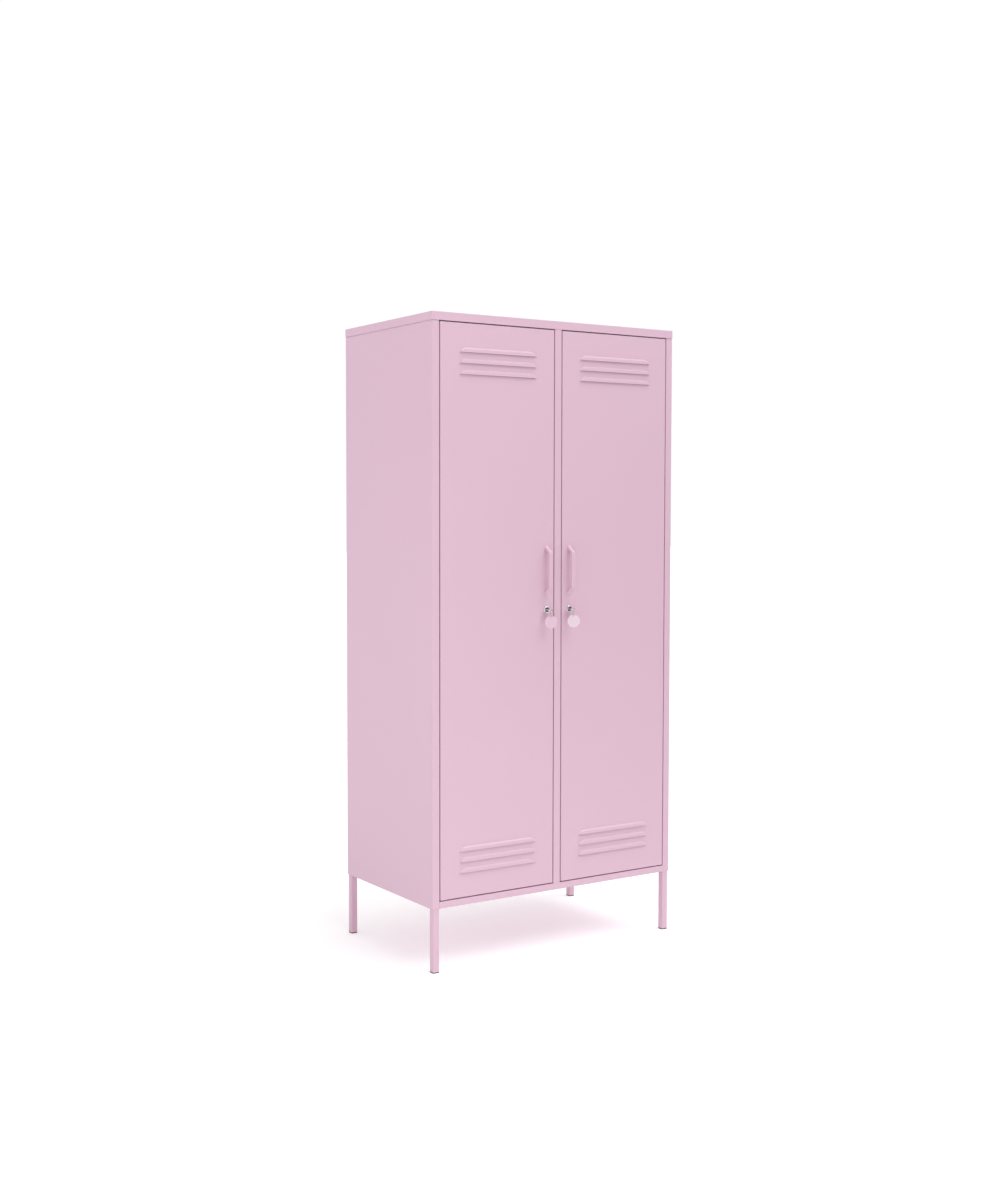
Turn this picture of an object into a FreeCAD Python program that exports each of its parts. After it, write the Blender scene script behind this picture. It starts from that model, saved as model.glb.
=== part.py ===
import FreeCAD, Part
import os

import Sketcher
from FreeCAD import Placement, Rotation, Vector

# Two-door sheet-steel locker cabinet on square tube legs.  Millimetres, +Z up, X to the right
# seen from the front, -Y towards the user.  The origin is on the floor, under the middle of the
# whole object's box.  Every piece is drawn with y = 0 at the carcass front face and is then moved
# by its Placement, so that the keys and tags in front count in that middle.

SIZES = {
    # overall
    "width": 857,            # across the lid
    "depth": 492,            # carcass front face to carcass back
    "height": 1830,          # floor to lid top
    "sheet": 0.8,            # steel sheet of the carcass and the doors
    "lid_overhang": 1.1,     # lid edge beyond the carcass, all round
    "lid_height": 23.1,
    "leg_height": 180.4,     # floor to carcass underside
    "stile": 22.9,           # front face of a side panel
    "stile_return": 16,
    "rear_flange": 18,
    "rail_height": 19.1,     # front face under the doors
    "mullion_width": 23.8,
    "mullion_depth": 17,
    "mullion_lip": 7,
    "partition_flange": 12,  # folded edge against the back panel
    "partition_tongue": 8,   # folded edge inside the mullion
    # doors
    "door_gap": 3,
    "door_depth": 18,
    "door_return": 12,
    "louvre_count": 3,
    "louvre_length": 267,
    "louvre_height": 14,
    "louvre_rise": 4.6,
    "louvre_pitch": 30.4,
    "louvre_top_margin": 66,
    "louvre_foot_margin": 70,
    "stiffener_width": 60,
    "stiffener_depth": 14,
    "stiffener_foot": 14,
    "stiffener_margin": 165,
    "pivot_inset": 8,        # pivot axis from the door's hinge edge
    "pivot_setback": 6,      # pivot axis behind the door's front face
    "pin_radius": 2.5,
    "pin_head_radius": 4,
    "pin_head": 2,
    "bush_radius": 4,
    "bush_flange_radius": 5.5,
    "bush_flange": 1.2,
    "bush_length": 6,
    "header_sheet": 1.5,
    "header_drop": 16,
    "stop_gap": 1.5,         # door back to the stop flange
    "bumper_radius": 5,
    "bumper_inset": 60,
    # handle
    "handle_inset": 25.6,    # handle and lock axis from the door's free edge
    "handle_above_lock": 114,
    "handle_length": 143,
    "handle_screw_spacing": 128,
    "handle_standoff": 24,
    "handle_run": 19,        # height of each slanted end
    "handle_width": 13,
    "handle_thickness": 6,
    "handle_foot": 15,
    "handle_rounding": 2.4,
    "screw_radius": 2,
    "screw_bite": 7,         # screw shank inside the handle foot
    # lock
    "lock_height": 799.3,    # lock axis above the door's lower edge
    "lock_head_radius": 10,
    "lock_head": 4,
    "barrel_radius": 8,
    "core_radius": 6,
    "core_sink": 0.6,        # core face behind the lock head's face
    "nut_across": 22,
    "nut_height": 3,
    "cam_gap": 1.5,          # door back to the cam
    "cam_thickness": 2,
    "cam_width": 14,
    "cam_reach": 36,
    "cam_square": 7,
    "cam_screw_radius": 2.5,
    "cam_screw_head_radius": 4.5,
    "cam_screw_head": 2.6,
    "cam_screw_length": 8,
    "blade_width": 7,
    "blade_thickness": 2,
    "blade_length": 17,
    "key_neck": 3,           # key bow in front of the lock head
    "bow_width": 20,
    "bow_hole_out": 21.6,    # bow hole centre in front of the door
    "bow_hole_radius": 3.5,
    "bow_tip": 5,            # bow edge beyond its hole centre
    "ring_radius": 10,
    "ring_wire": 0.7,
    "ring_lean": 50,         # ring centre below the horizontal, degrees about the bow hole
    "tag_turn": 27,          # tags face the hinge side of the left door by this angle
    "tag_lobes": 10,
    "tag_lobe_radius": 5.65,
    "tag_lobe_circle": 13.6,
    "tag_thickness": 2.4,
    "tag_hole_radius": 2.2,
    "tag_hole_out": 15.5,    # tag hole from the tag centre
    # inside
    "shelf_lip": 20,
    "shelf_setback": 32,     # shelf front edge behind the carcass front
    "shelf_side_gap": 1,
    "hat_shelf_height": 1290,  # above the carcass floor
    "shelf_pitch": 395,
    "right_shelves": 3,
    "clip_width": 14,
    "clip_reach": 9,
    "clip_height": 16,
    "clip_sheet": 1.5,
    "clip_inset": 60,
    "rail_radius": 9,
    "rail_wall": 1.2,
    "rail_drop": 55,         # rail axis below the hat shelf
    "rail_depth_place": 250,
    "socket_radius": 13,
    "socket_depth": 10,
    "socket_wall": 3,
    # legs
    "leg_tube": 20,
    "leg_wall": 1.5,
    "leg_side_inset": 2.8,
    "leg_face_inset": 1,
    "leg_plate": 55,
    "leg_plate_thickness": 3,
    "leg_plate_inset": 1.1,
    "leg_screw_inset": 9,
    "leg_screw_radius": 3,
    "leg_screw_head_radius": 5.5,
    "leg_screw_head": 2.6,
    "leg_screw_length": 7,
    "glide_base": 3,
    "glide_plug": 14,
    # joints between sheets
    "rivet_radius": 1.9,
    "rivet_head_radius": 3.4,
    "rivet_head": 0.9,
    "rivet_tail": 1,
    "rivet_inset": 9,
    "rivet_margin": 90,
    "rivet_count": 5,
    "wall_hole_radius": 4,
    "wall_hole_spacing": 600,
    "wall_hole_rows": 900,
    "wall_hole_margin": 230,  # upper wall holes below the lid top
    # fits
    "clearance": 0.3,
    "running_fit": 0.05,
    "screw_fit": 0.1,
}

# Places, as expressions on the sheet
LEG_TOP = "Sizes.leg_height"
FLOOR = "(Sizes.leg_height + Sizes.rail_height)"
LID_EDGE = "(Sizes.height - Sizes.lid_height)"
CEILING = "(Sizes.height - Sizes.sheet)"
WALL = "(Sizes.width / 2 - Sizes.lid_overhang)"
WALL_IN = f"({WALL} - Sizes.sheet)"
STILE_IN = f"({WALL} - Sizes.stile)"
BACK_IN = "(Sizes.depth - 2 * Sizes.sheet)"
MULLION = "(Sizes.mullion_width / 2)"
DOOR_HINGE = f"({STILE_IN} - Sizes.door_gap)"
DOOR_FREE = f"({MULLION} + Sizes.door_gap)"
DOOR_LOW = f"({FLOOR} + Sizes.door_gap)"
DOOR_HIGH = f"({LID_EDGE} - Sizes.door_gap)"
DOOR_MIDDLE = f"(({DOOR_HINGE} + {DOOR_FREE}) / 2)"
PIVOT_X = f"({DOOR_HINGE} - Sizes.pivot_inset)"
LOCK_X = f"({DOOR_FREE} + Sizes.handle_inset)"
LOCK_Z = f"({DOOR_LOW} + Sizes.lock_height)"
HANDLE_Z = f"({LOCK_Z} + Sizes.handle_above_lock)"
STOP_FACE = "(Sizes.door_depth + Sizes.stop_gap)"
CAM_FRONT = "(Sizes.door_depth + Sizes.cam_gap)"
CAM_BACK = f"({CAM_FRONT} + Sizes.cam_thickness)"
HAT_SHELF = f"({FLOOR} + Sizes.hat_shelf_height)"
RAIL_Z = f"({HAT_SHELF} - Sizes.sheet - Sizes.rail_drop)"
LEG_OUT = f"({WALL} - Sizes.leg_side_inset)"
LEG_IN = f"({LEG_OUT} - Sizes.leg_tube)"
PLATE_OUT = f"({WALL} - Sizes.leg_plate_inset)"
PLATE_IN = f"({PLATE_OUT} - Sizes.leg_plate)"
PLATE_TOP = f"({FLOOR} - Sizes.sheet)"
RING_OUT = "(Sizes.ring_radius * cos(Sizes.ring_lean))"
RING_DOWN = "(Sizes.ring_radius * sin(Sizes.ring_lean))"
TAG_HANG = "(Sizes.tag_hole_radius - Sizes.ring_wire - Sizes.clearance)"
TAG_DOWN = f"({RING_DOWN} + Sizes.ring_radius + {TAG_HANG} + Sizes.tag_hole_out)"
TAG_HALF = "(Sizes.tag_lobe_circle * cos(180 / Sizes.tag_lobes) + Sizes.tag_lobe_radius)"
TAG_REACH = (f"({TAG_HALF} * sin(Sizes.tag_turn)"
             f" + ({RING_OUT} + Sizes.tag_thickness / 2) * cos(Sizes.tag_turn))")
RING_REACH = f"(({RING_OUT} + Sizes.ring_radius) * cos(Sizes.tag_turn) + Sizes.ring_wire)"
REACH = f"(Sizes.bow_hole_out + max({TAG_REACH}; {RING_REACH}))"
FRONT = f"(({REACH} - Sizes.depth - Sizes.lid_overhang) / 2)"

PLANES = {"X": "YZ_Plane", "Y": "XZ_Plane", "Z": "XY_Plane"}
ALONG = {"X": Rotation(Vector(0, 1, 0), 90), "Y": Rotation(Vector(1, 0, 0), -90), "Z": Rotation()}
SIDES = {"left": -1, "right": 1}

doc = FreeCAD.newDocument("locker_cabinet")
sheet = doc.addObject("Spreadsheet::Sheet", "Sizes")
for row, (alias, value) in enumerate(SIZES.items(), start=1):
    sheet.set(f"A{row}", alias)
    sheet.set(f"B{row}", str(value))
    sheet.setAlias(f"B{row}", alias)
doc.recompute()
nodes = []


def number(expression):
    return float(sheet.evalExpression(expression))


def mirrored(side, points):
    """The same outline on one side of the cabinet: x is given for the right-hand side."""
    return [(f"{side} * {x}", y) for x, y in points]


def rectangle(low_u, high_u, low_v, high_v):
    return [(low_u, low_v), (high_u, low_v), (high_u, high_v), (low_u, high_v)]


def finish_node(piece, name):
    """Name a sub-part and put it in the object's frame."""
    piece.Label = name
    piece.setExpression("Placement.Base.y", FRONT)
    nodes.append(piece)
    return piece


# ---------------------------------------------------------------- sketched pieces

def new_body(name):
    return finish_node(doc.addObject("PartDesign::Body", name), name)


def new_sketch(body, name, axis, start):
    """A sketch square to the axis, at the place start along it."""
    sketch = body.newObject("Sketcher::SketchObject", name)
    plane = next(item for item in body.Origin.OriginFeatures if item.Role == PLANES[axis])
    sketch.AttachmentSupport = [(plane, "")]
    sketch.MapMode = "FlatFace"
    sketch.setExpression("AttachmentOffset.Base.z", f"-({start})" if axis == "Y" else start)
    return sketch


def tie(sketch, label, kind, geometry, point, expression):
    """Dimension one point from the sketch origin, bound to the sheet."""
    constraint = Sketcher.Constraint(kind, -1, 1, geometry, point, number(expression))
    sketch.renameConstraint(sketch.addConstraint(constraint), label)
    sketch.setExpression(f"Constraints.{label}", expression)


def draw_polygon(sketch, points):
    first = sketch.GeometryCount
    corners = [Vector(number(u), number(v), 0) for u, v in points]
    following = corners[1:] + corners[:1]
    for start, end in zip(corners, following):
        sketch.addGeometry(Part.LineSegment(start, end), False)
    count = len(points)
    for index in range(count):
        after = first + (index + 1) % count
        sketch.addConstraint(Sketcher.Constraint("Coincident", first + index, 2, after, 1))
    for index, (u, v) in enumerate(points, start=first):
        tie(sketch, f"u{index}", "DistanceX", index, 1, u)
        tie(sketch, f"v{index}", "DistanceY", index, 1, v)


def draw_circles(sketch, centres, radius):
    for u, v in centres:
        centre = Vector(number(u), number(v), 0)
        index = sketch.addGeometry(Part.Circle(centre, Vector(0, 0, 1), number(radius)), False)
        tie(sketch, f"u{index}", "DistanceX", index, 3, u)
        tie(sketch, f"v{index}", "DistanceY", index, 3, v)
        size = Sketcher.Constraint("Radius", index, number(radius))
        sketch.renameConstraint(sketch.addConstraint(size), f"r{index}")
        sketch.setExpression(f"Constraints.r{index}", radius)


def add_pad(body, name, axis, start, length, outlines):
    sketch = new_sketch(body, f"{name}_sketch", axis, start)
    for points in outlines:
        draw_polygon(sketch, points)
    pad = body.newObject("PartDesign::Pad", name)
    pad.Profile = sketch
    pad.setExpression("Length", length)
    pad.Reversed = axis == "Y"
    return pad


def add_disc(body, name, axis, start, length, centres, radius):
    sketch = new_sketch(body, f"{name}_sketch", axis, start)
    draw_circles(sketch, centres, radius)
    pad = body.newObject("PartDesign::Pad", name)
    pad.Profile = sketch
    pad.setExpression("Length", length)
    pad.Reversed = axis == "Y"
    return pad


def cut(body, name, axis, start, length, outlines=(), centres=(), radius="1"):
    """Cut outlines and round holes from start, towards + along the axis."""
    sketch = new_sketch(body, f"{name}_sketch", axis, start)
    for points in outlines:
        draw_polygon(sketch, points)
    draw_circles(sketch, centres, radius)
    pocket = body.newObject("PartDesign::Pocket", name)
    pocket.Profile = sketch
    pocket.setExpression("Length", length)
    pocket.Reversed = axis != "Y"
    return pocket


def round_edges(body, name, base, radius, wanted):
    """Fillet the edges of base that the test wanted picks."""
    doc.recompute()
    edges = [f"Edge{i}" for i, edge in enumerate(base.Shape.Edges, start=1) if wanted(edge)]
    fillet = body.newObject("PartDesign::Fillet", name)
    fillet.Base = (base, edges)
    fillet.setExpression("Radius", radius)
    return fillet


def runs_along(edge, axis):
    box = edge.BoundBox
    lengths = {"X": box.XLength, "Y": box.YLength, "Z": box.ZLength}
    return lengths[axis] > 1e-3 and sum(lengths.values()) - lengths[axis] < 1e-3


# ---------------------------------------------------------------- pieces from primitives

def place(piece, x, y, z, rotation=Rotation()):
    piece.Placement = Placement(Vector(), rotation)
    for name, expression in zip("xyz", (x, y, z)):
        piece.setExpression(f"Placement.Base.{name}", expression)
    return piece


def rod(name, axis, x, y, z, radius, length):
    piece = doc.addObject("Part::Cylinder", name)
    piece.setExpression("Radius", radius)
    piece.setExpression("Height", length)
    return place(piece, x, y, z, ALONG[axis])


def block(name, x, y, z, long_x, long_y, long_z):
    piece = doc.addObject("Part::Box", name)
    for size, expression in zip(("Length", "Width", "Height"), (long_x, long_y, long_z)):
        piece.setExpression(size, expression)
    return place(piece, x, y, z)


def fuse(name, pieces):
    piece = doc.addObject("Part::MultiFuse", name)
    piece.Shapes = pieces
    return piece


def subtract(name, base, tool):
    piece = doc.addObject("Part::Cut", name)
    piece.Base = base
    piece.Tool = tool
    return piece


def group(name, pieces):
    piece = doc.addObject("Part::Compound", name)
    piece.Links = pieces
    return finish_node(piece, name)


# ---------------------------------------------------------------- carcass

def lid():
    body = new_body("top_panel")
    back = "(Sizes.depth + Sizes.lid_overhang)"
    outside = rectangle("-Sizes.width / 2", "Sizes.width / 2", "-Sizes.lid_overhang", back)
    pad = add_pad(body, "lid_block", "Z", LID_EDGE, "Sizes.lid_height", [outside])
    top = number("Sizes.height")
    round_edges(body, "lid_bends", pad, "1.5 * Sizes.sheet",
                lambda edge: edge.BoundBox.ZMin > top - 1e-3)
    inside = rectangle("-Sizes.width / 2 + Sizes.sheet", "Sizes.width / 2 - Sizes.sheet",
                       "-Sizes.lid_overhang + Sizes.sheet", f"{back} - Sizes.sheet")
    cut(body, "lid_hollow", "Z", LID_EDGE, "Sizes.lid_height - Sizes.sheet", outlines=[inside])


def rivet_heights():
    step = f"(({LID_EDGE} - {FLOOR} - 2 * Sizes.rivet_margin) / (Sizes.rivet_count - 1))"
    count = int(SIZES["rivet_count"])
    return [f"({FLOOR} + Sizes.rivet_margin + {index} * {step})" for index in range(count)]


def side_panel(name, side):
    body = new_body(name)
    section = [(WALL, "0"), (STILE_IN, "0"), (STILE_IN, "Sizes.stile_return"),
               (f"({STILE_IN} + Sizes.sheet)", "Sizes.stile_return"),
               (f"({STILE_IN} + Sizes.sheet)", "Sizes.sheet"), (WALL_IN, "Sizes.sheet"),
               (WALL_IN, "Sizes.depth - Sizes.sheet"),
               (f"({WALL} - Sizes.rear_flange)", "Sizes.depth - Sizes.sheet"),
               (f"({WALL} - Sizes.rear_flange)", "Sizes.depth"), (WALL, "Sizes.depth")]
    length = f"{CEILING} - {LEG_TOP}"
    add_pad(body, f"{name}_section", "Z", LEG_TOP, length, [mirrored(side, section)])
    notch = rectangle(f"({STILE_IN} - 1)", f"({STILE_IN} + 2 * Sizes.sheet)",
                      "Sizes.sheet", "Sizes.stile_return + 1")
    cut(body, f"{name}_leg_notch", "Z", LEG_TOP, "Sizes.rail_height",
        outlines=[mirrored(side, notch)])
    column = f"{side} * ({WALL} - Sizes.rivet_inset)"
    cut(body, f"{name}_rivet_holes", "Y", "Sizes.depth - 2 * Sizes.sheet", "3 * Sizes.sheet",
        centres=[(column, height) for height in rivet_heights()],
        radius="Sizes.rivet_radius + Sizes.screw_fit")


def back_panel():
    body = new_body("back_panel")
    half = f"({WALL_IN} - Sizes.screw_fit)"
    outline = rectangle(f"-{half}", half, FLOOR, CEILING)
    add_pad(body, "back_sheet", "Y", BACK_IN, "Sizes.sheet", [outline])
    columns = [f"{side} * ({WALL} - Sizes.rivet_inset)" for side in SIDES.values()]
    cut(body, "back_rivet_holes", "Y", "Sizes.depth - 3 * Sizes.sheet", "3 * Sizes.sheet",
        centres=[(column, height) for column in columns for height in rivet_heights()],
        radius="Sizes.rivet_radius + Sizes.screw_fit")
    upper = "(Sizes.height - Sizes.wall_hole_margin)"
    rows = (upper, f"({upper} - Sizes.wall_hole_rows)")
    columns = ("-Sizes.wall_hole_spacing / 2", "Sizes.wall_hole_spacing / 2")
    cut(body, "wall_fixing_holes", "Y", "Sizes.depth - 3 * Sizes.sheet", "3 * Sizes.sheet",
        centres=[(column, height) for column in columns for height in rows],
        radius="Sizes.wall_hole_radius")


def leg_corners():
    """Name, side and depth direction of each leg, with the y where its face starts."""
    for side_name, side in SIDES.items():
        yield f"leg_front_{side_name}", side, 1, "Sizes.leg_face_inset"
        yield f"leg_rear_{side_name}", side, -1, "(Sizes.depth - Sizes.leg_face_inset)"


def leg_screw_places(side, facing, face):
    near_x = f"({side} * ({PLATE_OUT} - Sizes.leg_screw_inset))"
    far_x = f"({side} * ({PLATE_IN} + Sizes.leg_screw_inset))"
    near_y = f"({face} + {facing} * Sizes.leg_screw_inset)"
    far_y = f"({face} + {facing} * (Sizes.leg_plate - Sizes.leg_screw_inset))"
    return [(far_x, near_y), (far_x, far_y), (near_x, far_y)]


def all_leg_screws():
    places = []
    for _, side, facing, face in leg_corners():
        places += leg_screw_places(side, facing, face)
    return places


def base_panel():
    body = new_body("base_panel")
    under = f"({FLOOR} - Sizes.sheet)"
    rim = f"({WALL} - Sizes.rear_flange)"
    channel = [("0", LEG_TOP), ("Sizes.stile_return", LEG_TOP),
               ("Sizes.stile_return", f"({LEG_TOP} + Sizes.sheet)"),
               ("Sizes.sheet", f"({LEG_TOP} + Sizes.sheet)"), ("Sizes.sheet", under),
               ("Sizes.stile_return + 1", under), ("Sizes.stile_return + 1", FLOOR), ("0", FLOOR)]
    add_pad(body, "base_front", "X", f"-{STILE_IN}", f"2 * {STILE_IN}", [channel])
    floor = rectangle(f"-{WALL_IN}", WALL_IN, "Sizes.stile_return", "Sizes.depth - Sizes.sheet")
    add_pad(body, "base_floor", "Z", under, "Sizes.sheet", [floor])
    rear = rectangle("Sizes.depth - Sizes.sheet", "Sizes.depth", LEG_TOP, FLOOR)
    add_pad(body, "base_rear", "X", f"-{rim}", f"2 * {rim}", [rear])
    cut(body, "leg_screw_holes", "Z", f"{under} - Sizes.sheet", "3 * Sizes.sheet",
        centres=all_leg_screws(), radius="Sizes.leg_screw_radius + Sizes.screw_fit")
    cut(body, "lower_bush_holes", "Z", f"{under} - Sizes.sheet", "3 * Sizes.sheet",
        centres=[(f"{side} * {PIVOT_X}", "Sizes.pivot_setback") for side in SIDES.values()],
        radius="Sizes.bush_radius + Sizes.screw_fit")


def mullion():
    body = new_body("centre_mullion")
    inner = f"({MULLION} - Sizes.sheet)"
    lip = f"({MULLION} - Sizes.mullion_lip)"
    rear = "Sizes.mullion_depth"
    half = [(MULLION, "0"), (MULLION, rear), (lip, rear), (lip, f"{rear} - Sizes.sheet"),
            (inner, f"{rear} - Sizes.sheet"), (inner, "Sizes.sheet")]
    section = half + mirrored(-1, half)[::-1]
    add_pad(body, "mullion_section", "Z", FLOOR, f"{LID_EDGE} - {FLOOR}", [section])


def partition():
    """Its front edge runs between the lips of the mullion and is folded inside it."""
    body = new_body("centre_partition")
    half = "Sizes.sheet / 2"
    front = "Sizes.sheet"
    section = [(f"-{half}", front), ("Sizes.partition_tongue", front),
               ("Sizes.partition_tongue", f"{front} + Sizes.sheet"),
               (half, f"{front} + Sizes.sheet"), (half, BACK_IN),
               ("-Sizes.partition_flange", BACK_IN),
               ("-Sizes.partition_flange", f"{BACK_IN} - Sizes.sheet"),
               (f"-{half}", f"{BACK_IN} - Sizes.sheet")]
    add_pad(body, "partition_section", "Z", FLOOR, f"{CEILING} - {FLOOR}", [section])
    room = rectangle(f"{front} - 1", f"{STOP_FACE} + Sizes.header_sheet + Sizes.clearance",
                     f"{LID_EDGE} - Sizes.header_drop - Sizes.clearance", f"{CEILING} + 1")
    cut(body, "header_notch", "X", "-2 * Sizes.partition_flange", "4 * Sizes.partition_flange",
        outlines=[room])


def header():
    body = new_body("header_channel")
    gauge = "Sizes.header_sheet"
    rear = f"({STOP_FACE} + {gauge})"
    low = f"({LID_EDGE} - Sizes.header_drop)"
    section = [("0", LID_EDGE), (STOP_FACE, LID_EDGE), (STOP_FACE, low), (rear, low),
               (rear, f"{LID_EDGE} + {gauge}"), (gauge, f"{LID_EDGE} + {gauge}"),
               (gauge, CEILING), ("0", CEILING)]
    half = f"({STILE_IN} - Sizes.screw_fit)"
    add_pad(body, "header_section", "X", f"-{half}", f"2 * {half}", [section])
    cut(body, "upper_bush_holes", "Z", f"{LID_EDGE} - 1", f"{gauge} + 2",
        centres=[(f"{side} * {PIVOT_X}", "Sizes.pivot_setback") for side in SIDES.values()],
        radius="Sizes.bush_radius + Sizes.screw_fit")
    rooms = [rectangle(f"-{MULLION}", MULLION, f"{STOP_FACE} - 1", f"{rear} + 1")]
    swing = rectangle(f"({PIVOT_X} - Sizes.door_depth)", f"({STILE_IN} + 1)", f"{STOP_FACE} - 1",
                      f"{rear} + 1")
    rooms += [mirrored(side, swing) for side in SIDES.values()]
    cut(body, "stop_flange_notches", "Z", f"{low} - 1", "Sizes.header_drop", outlines=rooms)


def bumpers():
    pieces = []
    height = f"{LID_EDGE} - Sizes.header_drop / 2 - Sizes.door_gap / 2"
    for name, side in SIDES.items():
        for label, edge in (("outer", f"({DOOR_HINGE} - Sizes.bumper_inset)"),
                            ("inner", f"({DOOR_FREE} + Sizes.bumper_inset)")):
            pieces.append(rod(f"{name}_{label}_bumper", "Y", f"{side} * {edge}",
                              "Sizes.door_depth + Sizes.clearance", height,
                              "Sizes.bumper_radius", "Sizes.stop_gap - Sizes.clearance"))
    group("door_bumpers", pieces)


def back_rivets():
    pieces = []
    for name, side in SIDES.items():
        column = f"{side} * ({WALL} - Sizes.rivet_inset)"
        for index, height in enumerate(rivet_heights()):
            label = f"{name}_rivet_{index}"
            shank = rod(f"{label}_shank", "Y", column, f"{BACK_IN} - Sizes.rivet_tail", height,
                        "Sizes.rivet_radius", "2 * Sizes.sheet + Sizes.rivet_tail")
            head = rod(f"{label}_head", "Y", column, "Sizes.depth", height,
                       "Sizes.rivet_head_radius", "Sizes.rivet_head")
            pieces.append(fuse(label, [shank, head]))
    group("back_rivets", pieces)


# ---------------------------------------------------------------- legs

def leg(name, side, facing, face):
    body = new_body(name)
    under_plate = f"({PLATE_TOP} - Sizes.leg_plate_thickness)"
    inner_face = f"({face} + {facing} * Sizes.leg_tube)"
    outer = rectangle(LEG_IN, LEG_OUT, face, inner_face)
    tube = add_pad(body, f"{name}_tube", "Z", "Sizes.glide_base",
                   f"{under_plate} - Sizes.glide_base", [mirrored(side, outer)])
    round_edges(body, f"{name}_corners", tube, "Sizes.leg_wall",
                lambda edge: runs_along(edge, "Z"))
    plate = rectangle(PLATE_IN, PLATE_OUT, face, f"({face} + {facing} * Sizes.leg_plate)")
    add_pad(body, f"{name}_plate", "Z", under_plate, "Sizes.leg_plate_thickness",
            [mirrored(side, plate)])
    bore = rectangle(f"({LEG_IN} + Sizes.leg_wall)", f"({LEG_OUT} - Sizes.leg_wall)",
                     f"({face} + {facing} * Sizes.leg_wall)",
                     f"({inner_face} - {facing} * Sizes.leg_wall)")
    cut(body, f"{name}_bore", "Z", "Sizes.glide_base - 1", f"{under_plate} - Sizes.glide_base + 1",
        outlines=[mirrored(side, bore)])
    cut(body, f"{name}_screw_holes", "Z", f"{under_plate} - 1", "Sizes.leg_plate_thickness + 2",
        centres=leg_screw_places(side, facing, face),
        radius="Sizes.leg_screw_radius + Sizes.screw_fit")
    if facing > 0:
        cut(body, f"{name}_pivot_room", "Z", f"{under_plate} - 1",
            "Sizes.leg_plate_thickness + 2",
            centres=[(f"{side} * {PIVOT_X}", "Sizes.pivot_setback")],
            radius="Sizes.bush_radius + 2 * Sizes.clearance")


def leg_screws():
    pieces = []
    for index, (x, y) in enumerate(all_leg_screws()):
        label = f"leg_screw_{index}"
        head = rod(f"{label}_head", "Z", x, y, FLOOR, "Sizes.leg_screw_head_radius",
                   "Sizes.leg_screw_head")
        shank = rod(f"{label}_shank", "Z", x, y, f"{FLOOR} - Sizes.leg_screw_length",
                    "Sizes.leg_screw_radius", "Sizes.leg_screw_length")
        pieces.append(fuse(label, [head, shank]))
    group("leg_screws", pieces)


def foot_glides():
    pieces = []
    for name, side, facing, face in leg_corners():
        low_y = face if facing > 0 else f"({face} - Sizes.leg_tube)"
        low_x = LEG_IN if side > 0 else f"-{LEG_OUT}"
        inset = "(Sizes.leg_wall + Sizes.screw_fit)"
        plug = f"Sizes.leg_tube - 2 * {inset}"
        base = block(f"{name}_glide_base", low_x, low_y, "0",
                     "Sizes.leg_tube", "Sizes.leg_tube", "Sizes.glide_base")
        stem = block(f"{name}_glide_plug", f"{low_x} + {inset}", f"{low_y} + {inset}",
                     "Sizes.glide_base", plug, plug, "Sizes.glide_plug")
        pieces.append(fuse(f"{name}_glide", [base, stem]))
    group("foot_glides", pieces)


# ---------------------------------------------------------------- inside the bays

def shelf(name, side, height):
    """A folded tray shelf: deck, front and rear lips turned down."""
    body = new_body(name)
    rear = f"({BACK_IN} - Sizes.shelf_side_gap - Sizes.sheet)"
    front = "Sizes.shelf_setback"
    low = f"({height} - Sizes.shelf_lip)"
    under = f"({height} - Sizes.sheet)"
    section = [(front, low), (f"{front} + Sizes.sheet", low), (f"{front} + Sizes.sheet", under),
               (f"{rear} - Sizes.sheet", under), (f"{rear} - Sizes.sheet", low), (rear, low),
               (rear, height), (front, height)]
    inner = "(Sizes.sheet / 2 + Sizes.shelf_side_gap)"
    outer = f"({WALL_IN} - Sizes.shelf_side_gap)"
    start = inner if side > 0 else f"-{outer}"
    add_pad(body, f"{name}_section", "X", start, f"{outer} - {inner}", [section])


def shelf_clip(label, side, wall, away, y, height):
    """An angle fixed to a bay wall; away is the direction from that wall into the bay."""
    under = f"({height} - Sizes.sheet)"
    upright_x = wall if away > 0 else f"({wall} - Sizes.clip_sheet)"
    ledge_x = wall if away > 0 else f"({wall} - Sizes.clip_reach)"
    upright = block(f"{label}_upright", upright_x, y, f"{under} - Sizes.clip_height",
                    "Sizes.clip_sheet", "Sizes.clip_width", "Sizes.clip_height")
    ledge = block(f"{label}_ledge", ledge_x, y, f"{under} - Sizes.clip_sheet",
                  "Sizes.clip_reach", "Sizes.clip_width", "Sizes.clip_sheet")
    return fuse(label, [upright, ledge])


def shelf_clips(name, side, heights):
    pieces = []
    partition_face = f"({side} * Sizes.sheet / 2)"
    wall_face = f"({side} * {WALL_IN})"
    front = "(Sizes.shelf_setback + Sizes.clip_inset)"
    rear = f"({BACK_IN} - Sizes.clip_inset - Sizes.clip_width)"
    for level, height in enumerate(heights, start=1):
        for end, y in (("front", front), ("rear", rear)):
            pieces.append(shelf_clip(f"{name}_{level}_{end}_wall", side, wall_face, -side, y, height))
            pieces.append(shelf_clip(f"{name}_{level}_{end}_middle", side, partition_face, side, y,
                                     height))
    group(name, pieces)


def hanging_rail():
    gap = "(Sizes.socket_wall + Sizes.clearance)"
    start = f"-{WALL_IN} + {gap}"
    length = f"({WALL_IN} - Sizes.sheet / 2 - 2 * {gap})"
    outer = rod("rail_outer", "X", start, "Sizes.rail_depth_place", RAIL_Z, "Sizes.rail_radius",
                length)
    inner = rod("rail_inner", "X", f"{start} - 1", "Sizes.rail_depth_place", RAIL_Z,
                "Sizes.rail_radius - Sizes.rail_wall", f"{length} + 2")
    finish_node(subtract("hanging_rail", outer, inner), "hanging_rail")


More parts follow.
